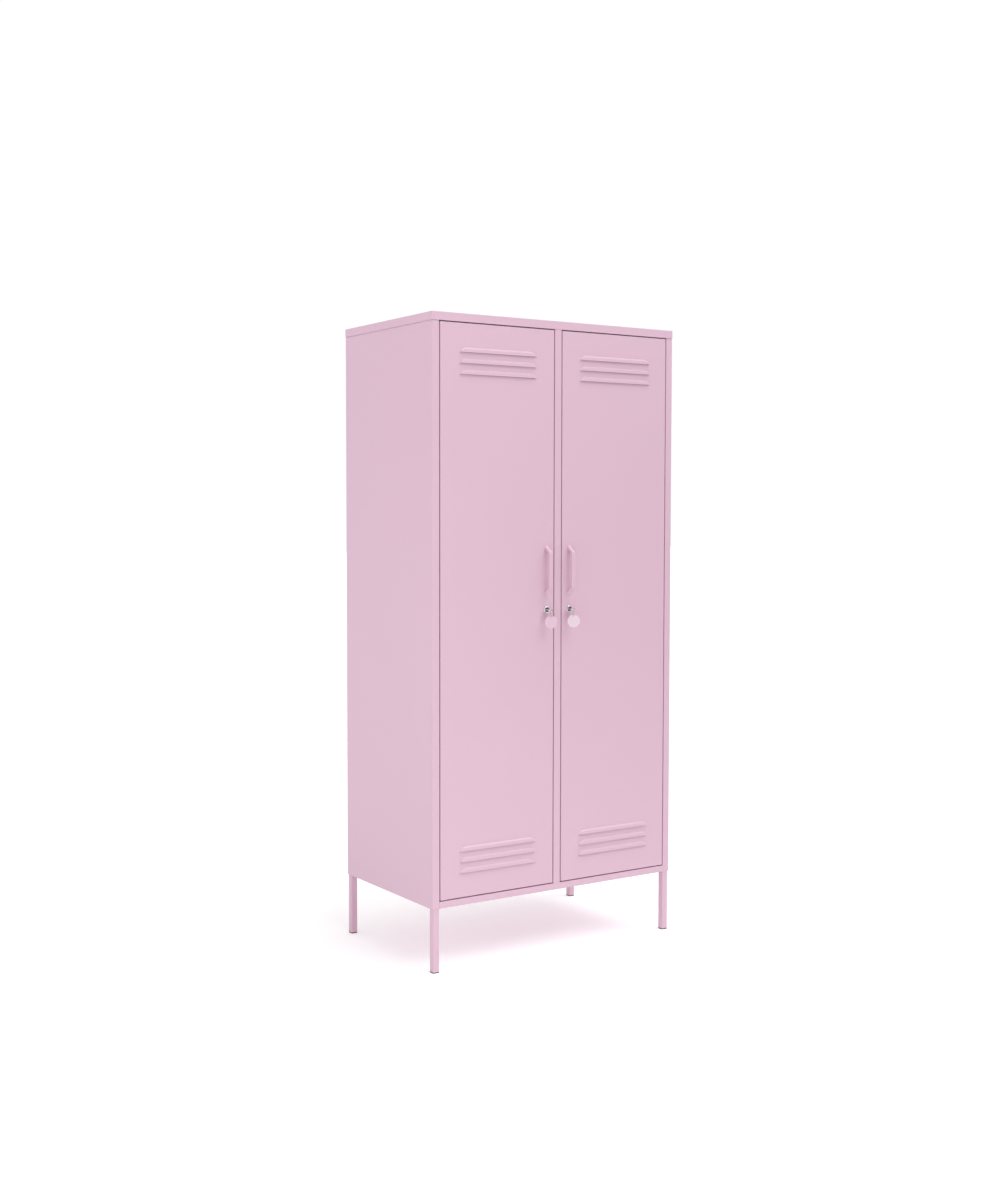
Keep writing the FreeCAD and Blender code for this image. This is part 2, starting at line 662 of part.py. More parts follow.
def rail_sockets():
    pieces = []
    ends = (("wall", f"-{WALL_IN}", f"-{WALL_IN} + Sizes.socket_wall"),
            ("middle", "-Sizes.sheet / 2 - Sizes.socket_depth", "-Sizes.sheet / 2 - Sizes.socket_depth - 1"))
    for name, start, bore_start in ends:
        cup = rod(f"{name}_socket_cup", "X", start, "Sizes.rail_depth_place", RAIL_Z,
                  "Sizes.socket_radius", "Sizes.socket_depth")
        bore_length = "Sizes.socket_depth - Sizes.socket_wall + 1"
        bore = rod(f"{name}_socket_bore", "X", bore_start, "Sizes.rail_depth_place", RAIL_Z,
                   "Sizes.rail_radius + Sizes.screw_fit", bore_length)
        pieces.append(subtract(f"{name}_socket", cup, bore))
    group("rail_sockets", pieces)


# ---------------------------------------------------------------- doors

def louvre_lines():
    """Lower edge of each louvre, lower group and upper group."""
    low = f"({DOOR_LOW} + Sizes.louvre_foot_margin)"
    high = f"({DOOR_HIGH} - Sizes.louvre_top_margin - Sizes.louvre_height)"
    steps = range(int(SIZES["louvre_count"]))
    return ([f"({low} + {step} * Sizes.louvre_pitch)" for step in steps]
            + [f"({high} - {step} * Sizes.louvre_pitch)" for step in steps])


def louvre_hoods(line):
    """Side view of one hood: the outside wedge and the hollow under it."""
    top = f"({line} + Sizes.louvre_height)"
    steep = "(Sizes.louvre_height / Sizes.louvre_rise)"
    wall = "(Sizes.sheet * sqrt(1 + (Sizes.louvre_rise / Sizes.louvre_height) ^ 2))"
    outside = [("Sizes.sheet", line), ("-Sizes.louvre_rise", line), ("0", top), ("Sizes.sheet", top)]
    inner_top = f"({top} - ({wall} - Sizes.sheet) * {steep})"
    hollow = [("Sizes.sheet + 1", line), (f"{wall} - Sizes.louvre_rise", line),
              ("Sizes.sheet", inner_top), ("Sizes.sheet + 1", inner_top)]
    return outside, hollow


def door_panel(name, side):
    body = new_body(f"{name}_door_panel")
    deep = "Sizes.door_depth"
    thin = "Sizes.sheet"
    section = [(DOOR_HINGE, "0"), (DOOR_FREE, "0"), (DOOR_FREE, deep),
               (f"({DOOR_FREE} + Sizes.door_return)", deep),
               (f"({DOOR_FREE} + Sizes.door_return)", f"{deep} - {thin}"),
               (f"({DOOR_FREE} + {thin})", f"{deep} - {thin}"), (f"({DOOR_FREE} + {thin})", thin),
               (f"({DOOR_HINGE} - {thin})", thin), (f"({DOOR_HINGE} - {thin})", f"{deep} - {thin}"),
               (f"({DOOR_HINGE} - Sizes.door_return)", f"{deep} - {thin}"),
               (f"({DOOR_HINGE} - Sizes.door_return)", deep), (DOOR_HINGE, deep)]
    add_pad(body, f"{name}_door_section", "Z", DOOR_LOW, f"{DOOR_HIGH} - {DOOR_LOW}",
            [mirrored(side, section)])
    flange = mirrored(side, rectangle(DOOR_HINGE, DOOR_FREE, "0", deep))
    add_pad(body, f"{name}_door_foot", "Z", DOOR_LOW, thin, [flange])
    add_pad(body, f"{name}_door_head", "Z", f"{DOOR_HIGH} - {thin}", thin, [flange])
    start = f"({side} * {DOOR_MIDDLE} - Sizes.louvre_length / 2)"
    hoods = [louvre_hoods(line) for line in louvre_lines()]
    add_pad(body, f"{name}_louvres", "X", start, "Sizes.louvre_length",
            [outside for outside, _ in hoods])
    cut(body, f"{name}_louvre_hollows", "X", f"{start} + {thin}",
        f"Sizes.louvre_length - 2 * {thin}", outlines=[hollow for _, hollow in hoods])
    lock_x = f"{side} * {LOCK_X}"
    cut(body, f"{name}_lock_hole", "Y", "-1", "3", centres=[(lock_x, LOCK_Z)],
        radius="Sizes.barrel_radius + Sizes.screw_fit")
    cut(body, f"{name}_handle_holes", "Y", "-1", "3", centres=handle_screw_places(side),
        radius="Sizes.screw_radius + Sizes.screw_fit")
    for end, height in (("lower", DOOR_LOW), ("upper", f"({DOOR_HIGH} - {thin})")):
        cut(body, f"{name}_{end}_pin_hole", "Z", f"{height} - {thin}", f"3 * {thin}",
            centres=[(f"{side} * {PIVOT_X}", "Sizes.pivot_setback")],
            radius="Sizes.pin_radius + Sizes.screw_fit")


def door_stiffener(name, side):
    body = new_body(f"{name}_door_stiffener")
    half = "(Sizes.stiffener_width / 2)"
    foot = f"({half} + Sizes.stiffener_foot)"
    thin = "Sizes.sheet"
    crown = "(Sizes.sheet + Sizes.stiffener_depth)"
    offsets = [(f"-{foot}", thin), (f"-{half} + {thin}", thin),
               (f"-{half} + {thin}", f"{crown} - {thin}"), (f"{half} - {thin}", f"{crown} - {thin}"),
               (f"{half} - {thin}", thin), (foot, thin), (foot, f"2 * {thin}"), (half, f"2 * {thin}"),
               (half, crown), (f"-{half}", crown), (f"-{half}", f"2 * {thin}"),
               (f"-{foot}", f"2 * {thin}")]
    section = [(f"{side} * {DOOR_MIDDLE} + {offset}", y) for offset, y in offsets]
    low = f"({DOOR_LOW} + Sizes.stiffener_margin)"
    add_pad(body, f"{name}_hat", "Z", low, f"{DOOR_HIGH} - Sizes.stiffener_margin - {low}",
            [section])


def pivot_pins(name, side):
    x = f"{side} * {PIVOT_X}"
    y = "Sizes.pivot_setback"
    reach = "(Sizes.sheet + Sizes.door_gap + Sizes.bush_length - Sizes.bush_flange - 1)"
    upper_head = rod(f"{name}_upper_pin_head", "Z", x, y,
                     f"{DOOR_HIGH} - Sizes.sheet - Sizes.pin_head", "Sizes.pin_head_radius",
                     "Sizes.pin_head")
    upper_shank = rod(f"{name}_upper_pin_shank", "Z", x, y, f"{DOOR_HIGH} - Sizes.sheet",
                      "Sizes.pin_radius", reach)
    lower_head = rod(f"{name}_lower_pin_head", "Z", x, y, f"{DOOR_LOW} + Sizes.sheet",
                     "Sizes.pin_head_radius", "Sizes.pin_head")
    lower_shank = rod(f"{name}_lower_pin_shank", "Z", x, y,
                      f"{DOOR_LOW} + Sizes.sheet - {reach}", "Sizes.pin_radius", reach)
    washer_height = "Sizes.door_gap - Sizes.bush_flange - Sizes.clearance"
    lower_collar = rod(f"{name}_lower_pin_collar", "Z", x, y,
                       f"{FLOOR} + Sizes.bush_flange + Sizes.clearance", "Sizes.pin_head_radius",
                       washer_height)
    group(f"{name}_pivot_pins", [fuse(f"{name}_upper_pin", [upper_head, upper_shank]),
                                 fuse(f"{name}_lower_pin", [lower_head, lower_shank, lower_collar])])


def pivot_bushes(name, side):
    x = f"{side} * {PIVOT_X}"
    y = "Sizes.pivot_setback"
    bore = "(Sizes.pin_radius + Sizes.running_fit)"
    pieces = []
    ends = (("upper", f"{LID_EDGE} - Sizes.bush_flange", f"{LID_EDGE} - Sizes.bush_flange"),
            ("lower", FLOOR, f"{FLOOR} + Sizes.bush_flange - Sizes.bush_length"))
    for end, flange_z, body_z in ends:
        label = f"{name}_{end}_bush"
        flange = rod(f"{label}_flange", "Z", x, y, flange_z, "Sizes.bush_flange_radius",
                     "Sizes.bush_flange")
        barrel = rod(f"{label}_barrel", "Z", x, y, body_z, "Sizes.bush_radius",
                     "Sizes.bush_length")
        hole = rod(f"{label}_bore", "Z", x, y, f"{body_z} - 1", bore, "Sizes.bush_length + 2")
        pieces.append(subtract(label, fuse(f"{label}_solid", [flange, barrel]), hole))
    group(f"{name}_pivot_bushes", pieces)


def handle_screw_places(side):
    half = "(Sizes.handle_screw_spacing / 2)"
    return [(f"{side} * {LOCK_X}", f"{HANDLE_Z} - {half}"),
            (f"{side} * {LOCK_X}", f"{HANDLE_Z} + {half}")]


def handle(name, side):
    body = new_body(f"{name}_handle")
    out = "Sizes.handle_standoff"
    inner = "(Sizes.handle_standoff - Sizes.handle_thickness)"
    low = f"({HANDLE_Z} - Sizes.handle_length / 2)"
    high = f"({HANDLE_Z} + Sizes.handle_length / 2)"
    run = "Sizes.handle_run"
    foot = "Sizes.handle_foot"
    outline = [("0", low), (f"-{out}", f"{low} + {run}"), (f"-{out}", f"{high} - {run}"), ("0", high),
               ("0", f"{high} - {foot}"), (f"-{inner}", f"{high} - {foot} - {run} / 2"),
               (f"-{inner}", f"{low} + {foot} + {run} / 2"), ("0", f"{low} + {foot}")]
    start = f"{side} * {LOCK_X} - Sizes.handle_width / 2"
    bar = add_pad(body, f"{name}_handle_bar", "X", start, "Sizes.handle_width", [outline])
    ends = (number(start), number(f"{start} + Sizes.handle_width"))
    round_edges(body, f"{name}_handle_rounding", bar, "Sizes.handle_rounding",
                lambda edge: edge.BoundBox.XLength < 1e-3 and edge.BoundBox.YMin < -1e-3
                and min(abs(edge.BoundBox.XMin - end) for end in ends) < 1e-3)
    cut(body, f"{name}_handle_threads", "Y", "-Sizes.screw_bite - 1", "Sizes.screw_bite + 1",
        centres=handle_screw_places(side), radius="Sizes.screw_radius + Sizes.running_fit")


def handle_screws(name, side):
    pieces = []
    for index, (x, z) in enumerate(handle_screw_places(side)):
        label = f"{name}_handle_screw_{index}"
        head = rod(f"{label}_head", "Y", x, "Sizes.sheet", z, "2 * Sizes.screw_radius",
                   "1.25 * Sizes.screw_radius")
        shank = rod(f"{label}_shank", "Y", x, "-Sizes.screw_bite", z, "Sizes.screw_radius",
                    "Sizes.screw_bite + Sizes.sheet")
        pieces.append(fuse(label, [head, shank]))
    group(f"{name}_handle_screws", pieces)


# ---------------------------------------------------------------- locks and keys

def lock_barrel(name, side):
    body = new_body(f"{name}_lock_barrel")
    centre = [(f"{side} * {LOCK_X}", LOCK_Z)]
    head = add_disc(body, f"{name}_lock_head", "Y", "-Sizes.lock_head", "Sizes.lock_head", centre,
                    "Sizes.lock_head_radius")
    face = number("-Sizes.lock_head")
    round_edges(body, f"{name}_lock_head_rounding", head, "Sizes.lock_head / 3",
                lambda edge: edge.BoundBox.YMax < face + 1e-3)
    add_disc(body, f"{name}_lock_thread", "Y", "0", CAM_FRONT + " - Sizes.clearance", centre,
             "Sizes.barrel_radius")
    cut(body, f"{name}_lock_bore", "Y", "-Sizes.lock_head - 1", f"Sizes.lock_head + {CAM_FRONT} + 1",
        centres=centre, radius="Sizes.core_radius")


def lock_nut(name, side):
    body = new_body(f"{name}_lock_nut")
    corner = "(Sizes.nut_across / 2 / cos(30))"
    offsets = [(f"{corner} * cos({60 * turn})", f"{corner} * sin({60 * turn})") for turn in range(6)]
    hexagon = [(f"{side} * {LOCK_X} + {x}", f"{LOCK_Z} + {z}") for x, z in offsets]
    add_pad(body, f"{name}_nut_hexagon", "Y", "Sizes.sheet", "Sizes.nut_height", [hexagon])
    cut(body, f"{name}_nut_bore", "Y", "0", "Sizes.nut_height + 2 * Sizes.sheet",
        centres=[(f"{side} * {LOCK_X}", LOCK_Z)], radius="Sizes.barrel_radius + Sizes.screw_fit")


def lock_core(name, side):
    body = new_body(f"{name}_lock_core")
    centre = [(f"{side} * {LOCK_X}", LOCK_Z)]
    face = "(Sizes.core_sink - Sizes.lock_head)"
    add_disc(body, f"{name}_core_plug", "Y", face, f"{CAM_FRONT} - Sizes.clearance - {face}", centre,
             "Sizes.core_radius - Sizes.running_fit")
    half = "(Sizes.cam_square / 2)"
    square = rectangle(f"{side} * {LOCK_X} - {half}", f"{side} * {LOCK_X} + {half}",
                       f"{LOCK_Z} - {half}", f"{LOCK_Z} + {half}")
    start = f"({CAM_FRONT} - Sizes.clearance)"
    add_pad(body, f"{name}_core_square", "Y", start, f"{CAM_BACK} - {start}", [square])
    slot = rectangle(f"{side} * {LOCK_X} - Sizes.blade_width / 2 - Sizes.screw_fit",
                     f"{side} * {LOCK_X} + Sizes.blade_width / 2 + Sizes.screw_fit",
                     f"{LOCK_Z} - Sizes.blade_thickness / 2 - Sizes.screw_fit",
                     f"{LOCK_Z} + Sizes.blade_thickness / 2 + Sizes.screw_fit")
    cut(body, f"{name}_core_slot", "Y", "-Sizes.lock_head - 1",
        "Sizes.blade_length + Sizes.screw_fit + 1", outlines=[slot])
    cut(body, f"{name}_core_thread", "Y", f"{CAM_BACK} - Sizes.cam_screw_length + Sizes.cam_screw_head",
        "Sizes.cam_screw_length", centres=centre, radius="Sizes.cam_screw_radius + Sizes.running_fit")


def lock_cam(name, side):
    """The tongue stands upright while the door is unlocked."""
    body = new_body(f"{name}_lock_cam")
    half = "(Sizes.cam_width / 2)"
    strip = rectangle(f"{side} * {LOCK_X} - {half}", f"{side} * {LOCK_X} + {half}",
                      f"{LOCK_Z} - {half}", f"{LOCK_Z} + Sizes.cam_reach")
    plate = add_pad(body, f"{name}_cam_strip", "Y", CAM_FRONT, "Sizes.cam_thickness", [strip])
    round_edges(body, f"{name}_cam_corners", plate, "Sizes.cam_width / 3",
                lambda edge: runs_along(edge, "Y"))
    hole = "(Sizes.cam_square / 2 + Sizes.running_fit)"
    square = rectangle(f"{side} * {LOCK_X} - {hole}", f"{side} * {LOCK_X} + {hole}",
                       f"{LOCK_Z} - {hole}", f"{LOCK_Z} + {hole}")
    cut(body, f"{name}_cam_hole", "Y", f"{CAM_FRONT} - 1", "Sizes.cam_thickness + 2",
        outlines=[square])


def cam_screw(name, side):
    x = f"{side} * {LOCK_X}"
    head = rod(f"{name}_cam_screw_head", "Y", x, CAM_BACK, LOCK_Z, "Sizes.cam_screw_head_radius",
               "Sizes.cam_screw_head")
    length = "(Sizes.cam_screw_length - Sizes.cam_screw_head - Sizes.clearance)"
    shank = rod(f"{name}_cam_screw_shank", "Y", x, f"{CAM_BACK} - {length}", LOCK_Z,
                "Sizes.cam_screw_radius", length)
    finish_node(fuse(f"{name}_cam_screw", [head, shank]), f"{name}_cam_screw")


def key(name, side):
    """Flat key, lying level: blade in the core, bow in front with a hole for the ring."""
    body = new_body(f"{name}_key")
    x = f"{side} * {LOCK_X}"
    low = f"({LOCK_Z} - Sizes.blade_thickness / 2)"
    blade = rectangle(f"{x} - Sizes.blade_width / 2", f"{x} + Sizes.blade_width / 2",
                      "-Sizes.lock_head - Sizes.key_neck", "Sizes.blade_length - Sizes.lock_head")
    add_pad(body, f"{name}_key_blade", "Z", low, "Sizes.blade_thickness", [blade])
    bow = rectangle(f"{x} - Sizes.bow_width / 2", f"{x} + Sizes.bow_width / 2",
                    "-Sizes.bow_hole_out - Sizes.bow_tip", "-Sizes.lock_head - Sizes.key_neck")
    pad = add_pad(body, f"{name}_key_bow", "Z", low, "Sizes.blade_thickness", [bow])
    shoulder = number("-Sizes.lock_head - Sizes.key_neck")
    round_edges(body, f"{name}_key_corners", pad, "Sizes.bow_width / 4",
                lambda edge: runs_along(edge, "Z") and edge.BoundBox.YMax < shoulder + 1e-3
                and abs(edge.BoundBox.XMin - number(x)) > number("Sizes.blade_width / 2") + 1e-3)
    cut(body, f"{name}_key_hole", "Z", f"{low} - 1", "Sizes.blade_thickness + 2",
        centres=[(x, "-Sizes.bow_hole_out")], radius="Sizes.bow_hole_radius")


def hang(piece, side, x, y, z, rotation=Rotation()):
    """Place a piece of the hanging set, given square to the door, turned about the bow hole."""
    turned = Rotation(Vector(0, 0, 1), -SIZES["tag_turn"])
    piece.Placement = Placement(Vector(), turned * rotation)
    turn = "Sizes.tag_turn"
    piece.setExpression("Placement.Base.x",
                        f"{side} * {LOCK_X} + ({x}) * cos({turn}) + ({y}) * sin({turn})")
    piece.setExpression("Placement.Base.y",
                        f"-Sizes.bow_hole_out - ({x}) * sin({turn}) + ({y}) * cos({turn})")
    piece.setExpression("Placement.Base.z", f"{LOCK_Z} + {z}")
    return piece


def key_ring(name, side):
    ring = doc.addObject("Part::Torus", f"{name}_ring_wire")
    ring.setExpression("Radius1", "Sizes.ring_radius")
    ring.setExpression("Radius2", "Sizes.ring_wire")
    hang(ring, side, "0", f"-{RING_OUT}", f"-{RING_DOWN}", Rotation(Vector(0, 1, 0), 90))
    group(f"{name}_key_ring", [ring])


def key_tag(name, side):
    """Blank plastic disc with a lobed edge."""
    pieces = []
    back = f"-{RING_OUT} - Sizes.tag_thickness / 2"
    upright = ALONG["Y"]

    def puck(label, out, angle, radius, start=back, length="Sizes.tag_thickness"):
        piece = doc.addObject("Part::Cylinder", label)
        piece.setExpression("Radius", radius)
        piece.setExpression("Height", length)
        return hang(piece, side, f"{out} * cos({angle})", start,
                    f"({out} * sin({angle}) - {TAG_DOWN})", upright)

    pieces.append(puck(f"{name}_tag_disc", "0", 0, "Sizes.tag_lobe_circle"))
    lobes = int(SIZES["tag_lobes"])
    for index in range(lobes):
        pieces.append(puck(f"{name}_tag_lobe_{index}", "Sizes.tag_lobe_circle",
                           f"(90 + {index} * 360 / Sizes.tag_lobes)", "Sizes.tag_lobe_radius"))
    hole = puck(f"{name}_tag_hole", "Sizes.tag_hole_out", 90, "Sizes.tag_hole_radius",
                f"{back} - 1", "Sizes.tag_thickness + 2")
    disc = subtract(f"{name}_tag_cut", fuse(f"{name}_tag_blank", pieces), hole)
    finish_node(disc, f"{name}_key_tag")


# ---------------------------------------------------------------- build and write

def check(piece):
    failed = [state for state in piece.State if state in ("Invalid", "Error")]
    if failed:
        raise SystemExit(f"{piece.Name}: {failed}")


def build():
    lid()
    for name, side in SIDES.items():
        side_panel(f"{name}_side_panel", side)
    back_panel()
    base_panel()
    mullion()
    partition()
    header()
    bumpers()
    back_rivets()
    for name, side, facing, face in leg_corners():
        leg(name, side, facing, face)
    leg_screws()
    foot_glides()
    shelf("left_hat_shelf", -1, HAT_SHELF)
    shelf_clips("left_shelf_clips", -1, [HAT_SHELF])
    levels = [f"({FLOOR} + {level} * Sizes.shelf_pitch)"
              for level in range(1, int(SIZES["right_shelves"]) + 1)]
    for level, height in enumerate(levels, start=1):
        shelf(f"right_shelf_{level}", 1, height)
    shelf_clips("right_shelf_clips", 1, levels)
    hanging_rail()
    rail_sockets()
    door_pieces = (door_panel, door_stiffener, pivot_pins, pivot_bushes, handle, handle_screws,
                   lock_barrel, lock_nut, lock_core, lock_cam, cam_screw, key, key_ring, key_tag)
    for name, side in SIDES.items():
        for make in door_pieces:
            make(name, side)


def write():
    doc.recompute()
    for piece in doc.Objects:
        check(piece)
    for piece in nodes:
        if piece.Shape.isNull() or not piece.Shape.isValid():
            raise SystemExit(f"{piece.Label}: no valid shape")
    os.makedirs("parts", exist_ok=True)
    for piece in nodes:
        piece.Shape.exportStep(f"parts/{piece.Label}.step")
        print(f"{piece.Label}: {len(piece.Shape.Solids)} solid(s), {piece.Shape.Volume:.0f} mm3")


build()
write()
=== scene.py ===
import math

import bmesh
import bpy
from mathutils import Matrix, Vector
from mathutils.geometry import delaunay_2d_cdt


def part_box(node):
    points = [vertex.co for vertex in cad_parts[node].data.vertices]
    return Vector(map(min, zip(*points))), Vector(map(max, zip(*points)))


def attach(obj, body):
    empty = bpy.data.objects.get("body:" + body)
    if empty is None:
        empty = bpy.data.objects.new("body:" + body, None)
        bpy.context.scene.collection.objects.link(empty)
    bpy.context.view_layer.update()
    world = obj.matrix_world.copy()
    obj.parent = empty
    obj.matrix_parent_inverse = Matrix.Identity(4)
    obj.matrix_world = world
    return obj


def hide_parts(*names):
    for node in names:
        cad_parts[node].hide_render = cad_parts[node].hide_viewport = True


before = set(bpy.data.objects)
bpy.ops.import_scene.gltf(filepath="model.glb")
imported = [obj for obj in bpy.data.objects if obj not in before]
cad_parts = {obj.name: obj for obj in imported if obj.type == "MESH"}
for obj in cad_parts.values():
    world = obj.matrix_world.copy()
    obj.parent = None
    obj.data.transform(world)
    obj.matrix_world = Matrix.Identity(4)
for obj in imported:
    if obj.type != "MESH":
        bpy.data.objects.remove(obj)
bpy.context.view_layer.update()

# Two-door sheet-steel locker cabinet on square tube legs. Metres, +Z up, -Y towards the user.

MM = 0.001
SIDES = {"left": -1, "right": 1}
SHEET = 0.8 * MM
BEND = 1.6 * MM  # outer radius of a folded edge
FOLD = 0.8 * MM  # radius where a fold is drawn on its inner face
BEND_POINTS = 5  # points that bent() gives each corner
QUARTER = [math.radians(22.5 * n) for n in range(BEND_POINTS)]
STILE, STILE_RETURN, REAR_FLANGE = 22.9 * MM, 16 * MM, 18 * MM
LEG_TUBE = 20 * MM
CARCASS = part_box("left_side_panel")[0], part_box("right_side_panel")[1]
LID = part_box("top_panel")
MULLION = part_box("centre_mullion")
FRONT = MULLION[0].y
BACK = CARCASS[1].y
FLOOR = MULLION[0].z
LID_EDGE = MULLION[1].z
CEILING = CARCASS[1].z
LEG_TOP = CARCASS[0].z


# ---------------------------------------------------------------- drawing


def along_y(u, v, w):
    return (u, FRONT + w, v)


def along_z(u, v, w):
    return (u, v, w)


def along_x(u, v, w):
    return (w, u, v)


def circle(u, v, radius, count=40):
    turns = [2 * math.pi * n / count for n in range(count)]
    return [(u + radius * math.cos(a), v + radius * math.sin(a)) for a in turns]


def rounded(u0, u1, v0, v1, corner, steps=5):
    """Counter-clockwise rectangle with rounded corners."""
    loop = []
    for u, v, turn in ((u1 - corner, v0 + corner, -90), (u1 - corner, v1 - corner, 0),
                       (u0 + corner, v1 - corner, 90), (u0 + corner, v0 + corner, 180)):
        for step in range(steps + 1):
            a = math.radians(turn + 90 * step / steps)
            loop.append((u + corner * math.cos(a), v + corner * math.sin(a)))
    return loop


def bent(corners, radii, steps=BEND_POINTS - 1):
    """An open line with rounded corners; radii is one radius or one for each corner."""
    if not isinstance(radii, (list, tuple)):
        radii = [radii] * (len(corners) - 2)
    line = [tuple(corners[0])]
    for before, corner, after, radius in zip(corners, corners[1:], corners[2:], radii):
        middle = Vector(corner)
        a = (Vector(before) - middle).normalized()
        b = (Vector(after) - middle).normalized()
        half = a.angle(b) / 2
        centre = middle + (a + b).normalized() * (radius / math.sin(half))
        start = middle + a * (radius / math.tan(half)) - centre
        end = middle + b * (radius / math.tan(half)) - centre
        line += [tuple(centre + start.slerp(end, step / steps).normalized() * radius)
                 for step in range(steps + 1)]
    return line + [tuple(corners[-1])]


def grown(loop, distance):
    """The loop moved outwards by distance; it runs counter-clockwise."""
    moved = []
    count = len(loop)
    for n in range(count):
        before, point, after = (Vector(loop[(n + k) % count]) for k in (-1, 0, 1))
        a, b = (point - before).normalized(), (after - point).normalized()
        side_a, side_b = Vector((a.y, -a.x)), Vector((b.y, -b.x))
        reach = distance / max(1 + side_a.dot(side_b), 0.3)
        moved.append(tuple(point + (side_a + side_b) * reach))
    return moved


def inside(point, loop):
    """Whether the point lies within the loop."""
    found = False
    for (u0, v0), (u1, v1) in zip(loop, loop[1:] + loop[:1]):
        if (v0 > point.y) != (v1 > point.y):
            if point.x < u0 + (point.y - v0) / (v1 - v0) * (u1 - u0):
                found = not found
    return found


class Skin:
    """Points and faces of one piece, drawn in (u, v, w) and put in place by a function."""

    def __init__(self, place=along_z):
        self.place = place
        self.points, self.faces = [], []

    def face(self, corners):
        start = len(self.points)
        self.points += [self.place(*corner) for corner in corners]
        self.faces.append(list(range(start, len(self.points))))

    def loft(self, rows, closed=True):
        for a, b in zip(rows, rows[1:]):
            for n in range(len(a) if closed else len(a) - 1):
                m = (n + 1) % len(a)
                self.face([a[n], a[m], b[m], b[n]])

    def flat(self, outline, holes, w):
        """A level face with holes in it."""
        points, edges = [], []
        for loop in [outline] + holes:
            start = len(points)
            points += [Vector(p) for p in loop]
            edges += [(start + n, start + (n + 1) % len(loop)) for n in range(len(loop))]
        corners, _, triangles, *_ = delaunay_2d_cdt(points, edges, [], 1, 1e-7)
        for triangle in triangles:
            middle = sum((corners[n] for n in triangle), Vector((0, 0))) / 3
            if inside(middle, outline) and not any(inside(middle, hole) for hole in holes):
                self.face([(corners[n].x, corners[n].y, w) for n in triangle])

    def plate(self, outline, holes, low, high, edge, steps=3):
        """A solid plate with rounded rims; all loops run counter-clockwise."""
        turns = [math.pi / 2 * n / steps for n in range(steps + 1)]
        rims = ([(edge * (1 - math.sin(a)), low + edge * (1 - math.cos(a))) for a in turns]
                + [(edge * (1 - math.cos(a)), high - edge * (1 - math.sin(a))) for a in turns])
        for loop, sign in [(outline, -1)] + [(hole, 1) for hole in holes]:
            self.loft([[(u, v, w) for u, v in grown(loop, sign * inset)] for inset, w in rims])
        for w in (low, high):
            self.flat(grown(outline, -edge), [grown(hole, edge) for hole in holes], w)

    def strip(self, line, stations):
        """A folded sheet: line in (u, v), drawn along w through the stations."""
        self.loft([[(u, v, w) for u, v in line] for w in stations], closed=False)

    def pan(self, u0, u1, v0, v1, depth, edge, corner, holes=()):
        """A flat face with rounded edges and four walls."""
        def ring(inset, w):
            loop = rounded(u0 + inset, u1 - inset, v0 + inset, v1 - inset, corner - inset)
            return [(u, v, w) for u, v in loop]
        rows = [ring(edge * (1 - math.sin(a)), edge * (1 - math.cos(a))) for a in QUARTER]
        self.loft(rows + [ring(0, depth)])
        self.flat([(u, v) for u, v, _ in rows[0]], list(holes), 0)

    def lathe(self, u, v, profile, count=32):
        """Profile in (radius, w) turned about the line through (u, v)."""
        rows = [[(*p, w) for p in circle(u, v, max(radius, 1e-7), count)] for radius, w in profile]
        self.loft(rows)

    def absorb(self, mesh):
        for polygon in mesh.polygons:
            start = len(self.points)
            self.points += [tuple(mesh.vertices[n].co) for n in polygon.vertices]
            self.faces.append(list(range(start, len(self.points))))


def mesh_of(name, skins, outward=None):
    """One mesh from several skins. An open sheet is turned to face outward."""
    bm = bmesh.new()
    for skin in skins:
        corners = [bm.verts.new(point) for point in skin.points]
        for face in skin.faces:
            bm.faces.new([corners[n] for n in face])
    bmesh.ops.remove_doubles(bm, verts=bm.verts, dist=2e-6)
    bmesh.ops.dissolve_degenerate(bm, edges=bm.edges, dist=1e-6)
    bmesh.ops.recalc_face_normals(bm, faces=bm.faces)
    if outward is not None:
        facing = sum((f.normal * f.calc_area() for f in bm.faces), Vector()).dot(Vector(outward))
        if facing < 0:
            bmesh.ops.reverse_faces(bm, faces=bm.faces)
    mesh = bpy.data.meshes.new(name)
    bm.to_mesh(mesh)
    bm.free()
    return mesh


def bake(thing):
    """Turns the object's modifiers into its mesh."""
    graph = bpy.context.evaluated_depsgraph_get()
    baked = bpy.data.meshes.new_from_object(thing.evaluated_get(graph))
    thing.modifiers.clear()
    thing.data = baked
    return thing


def linked(name, data):
    """A new object in the scene."""
    thing = bpy.data.objects.new(name, data)
    bpy.context.scene.collection.objects.link(thing)
    return thing


def piece(name, skins, body, nodes, finish, sheet=0, outward=None):
    """A finished piece that rides on its body and stands for the named nodes."""
    if isinstance(skins, Skin):
        skins = [skins]
    thing = linked(name, mesh_of(name, skins, outward))
    if sheet:
        solid = thing.modifiers.new("sheet thickness", "SOLIDIFY")
        solid.thickness = sheet
        solid.offset = -1
        solid.use_even_offset = True
        bake(thing)
    thing.data.shade_smooth()
    thing.data.set_sharp_from_angle(angle=math.radians(33))
    weighted = thing.modifiers.new("face weighted normals", "WEIGHTED_NORMAL")
    weighted.keep_sharp = True
    bake(thing)
    thing.data.name = name
    thing.data.materials.clear()
    thing.data.materials.append(finish.material)
    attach(thing, body)
    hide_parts(*nodes)
    return thing


# ---------------------------------------------------------------- finishes


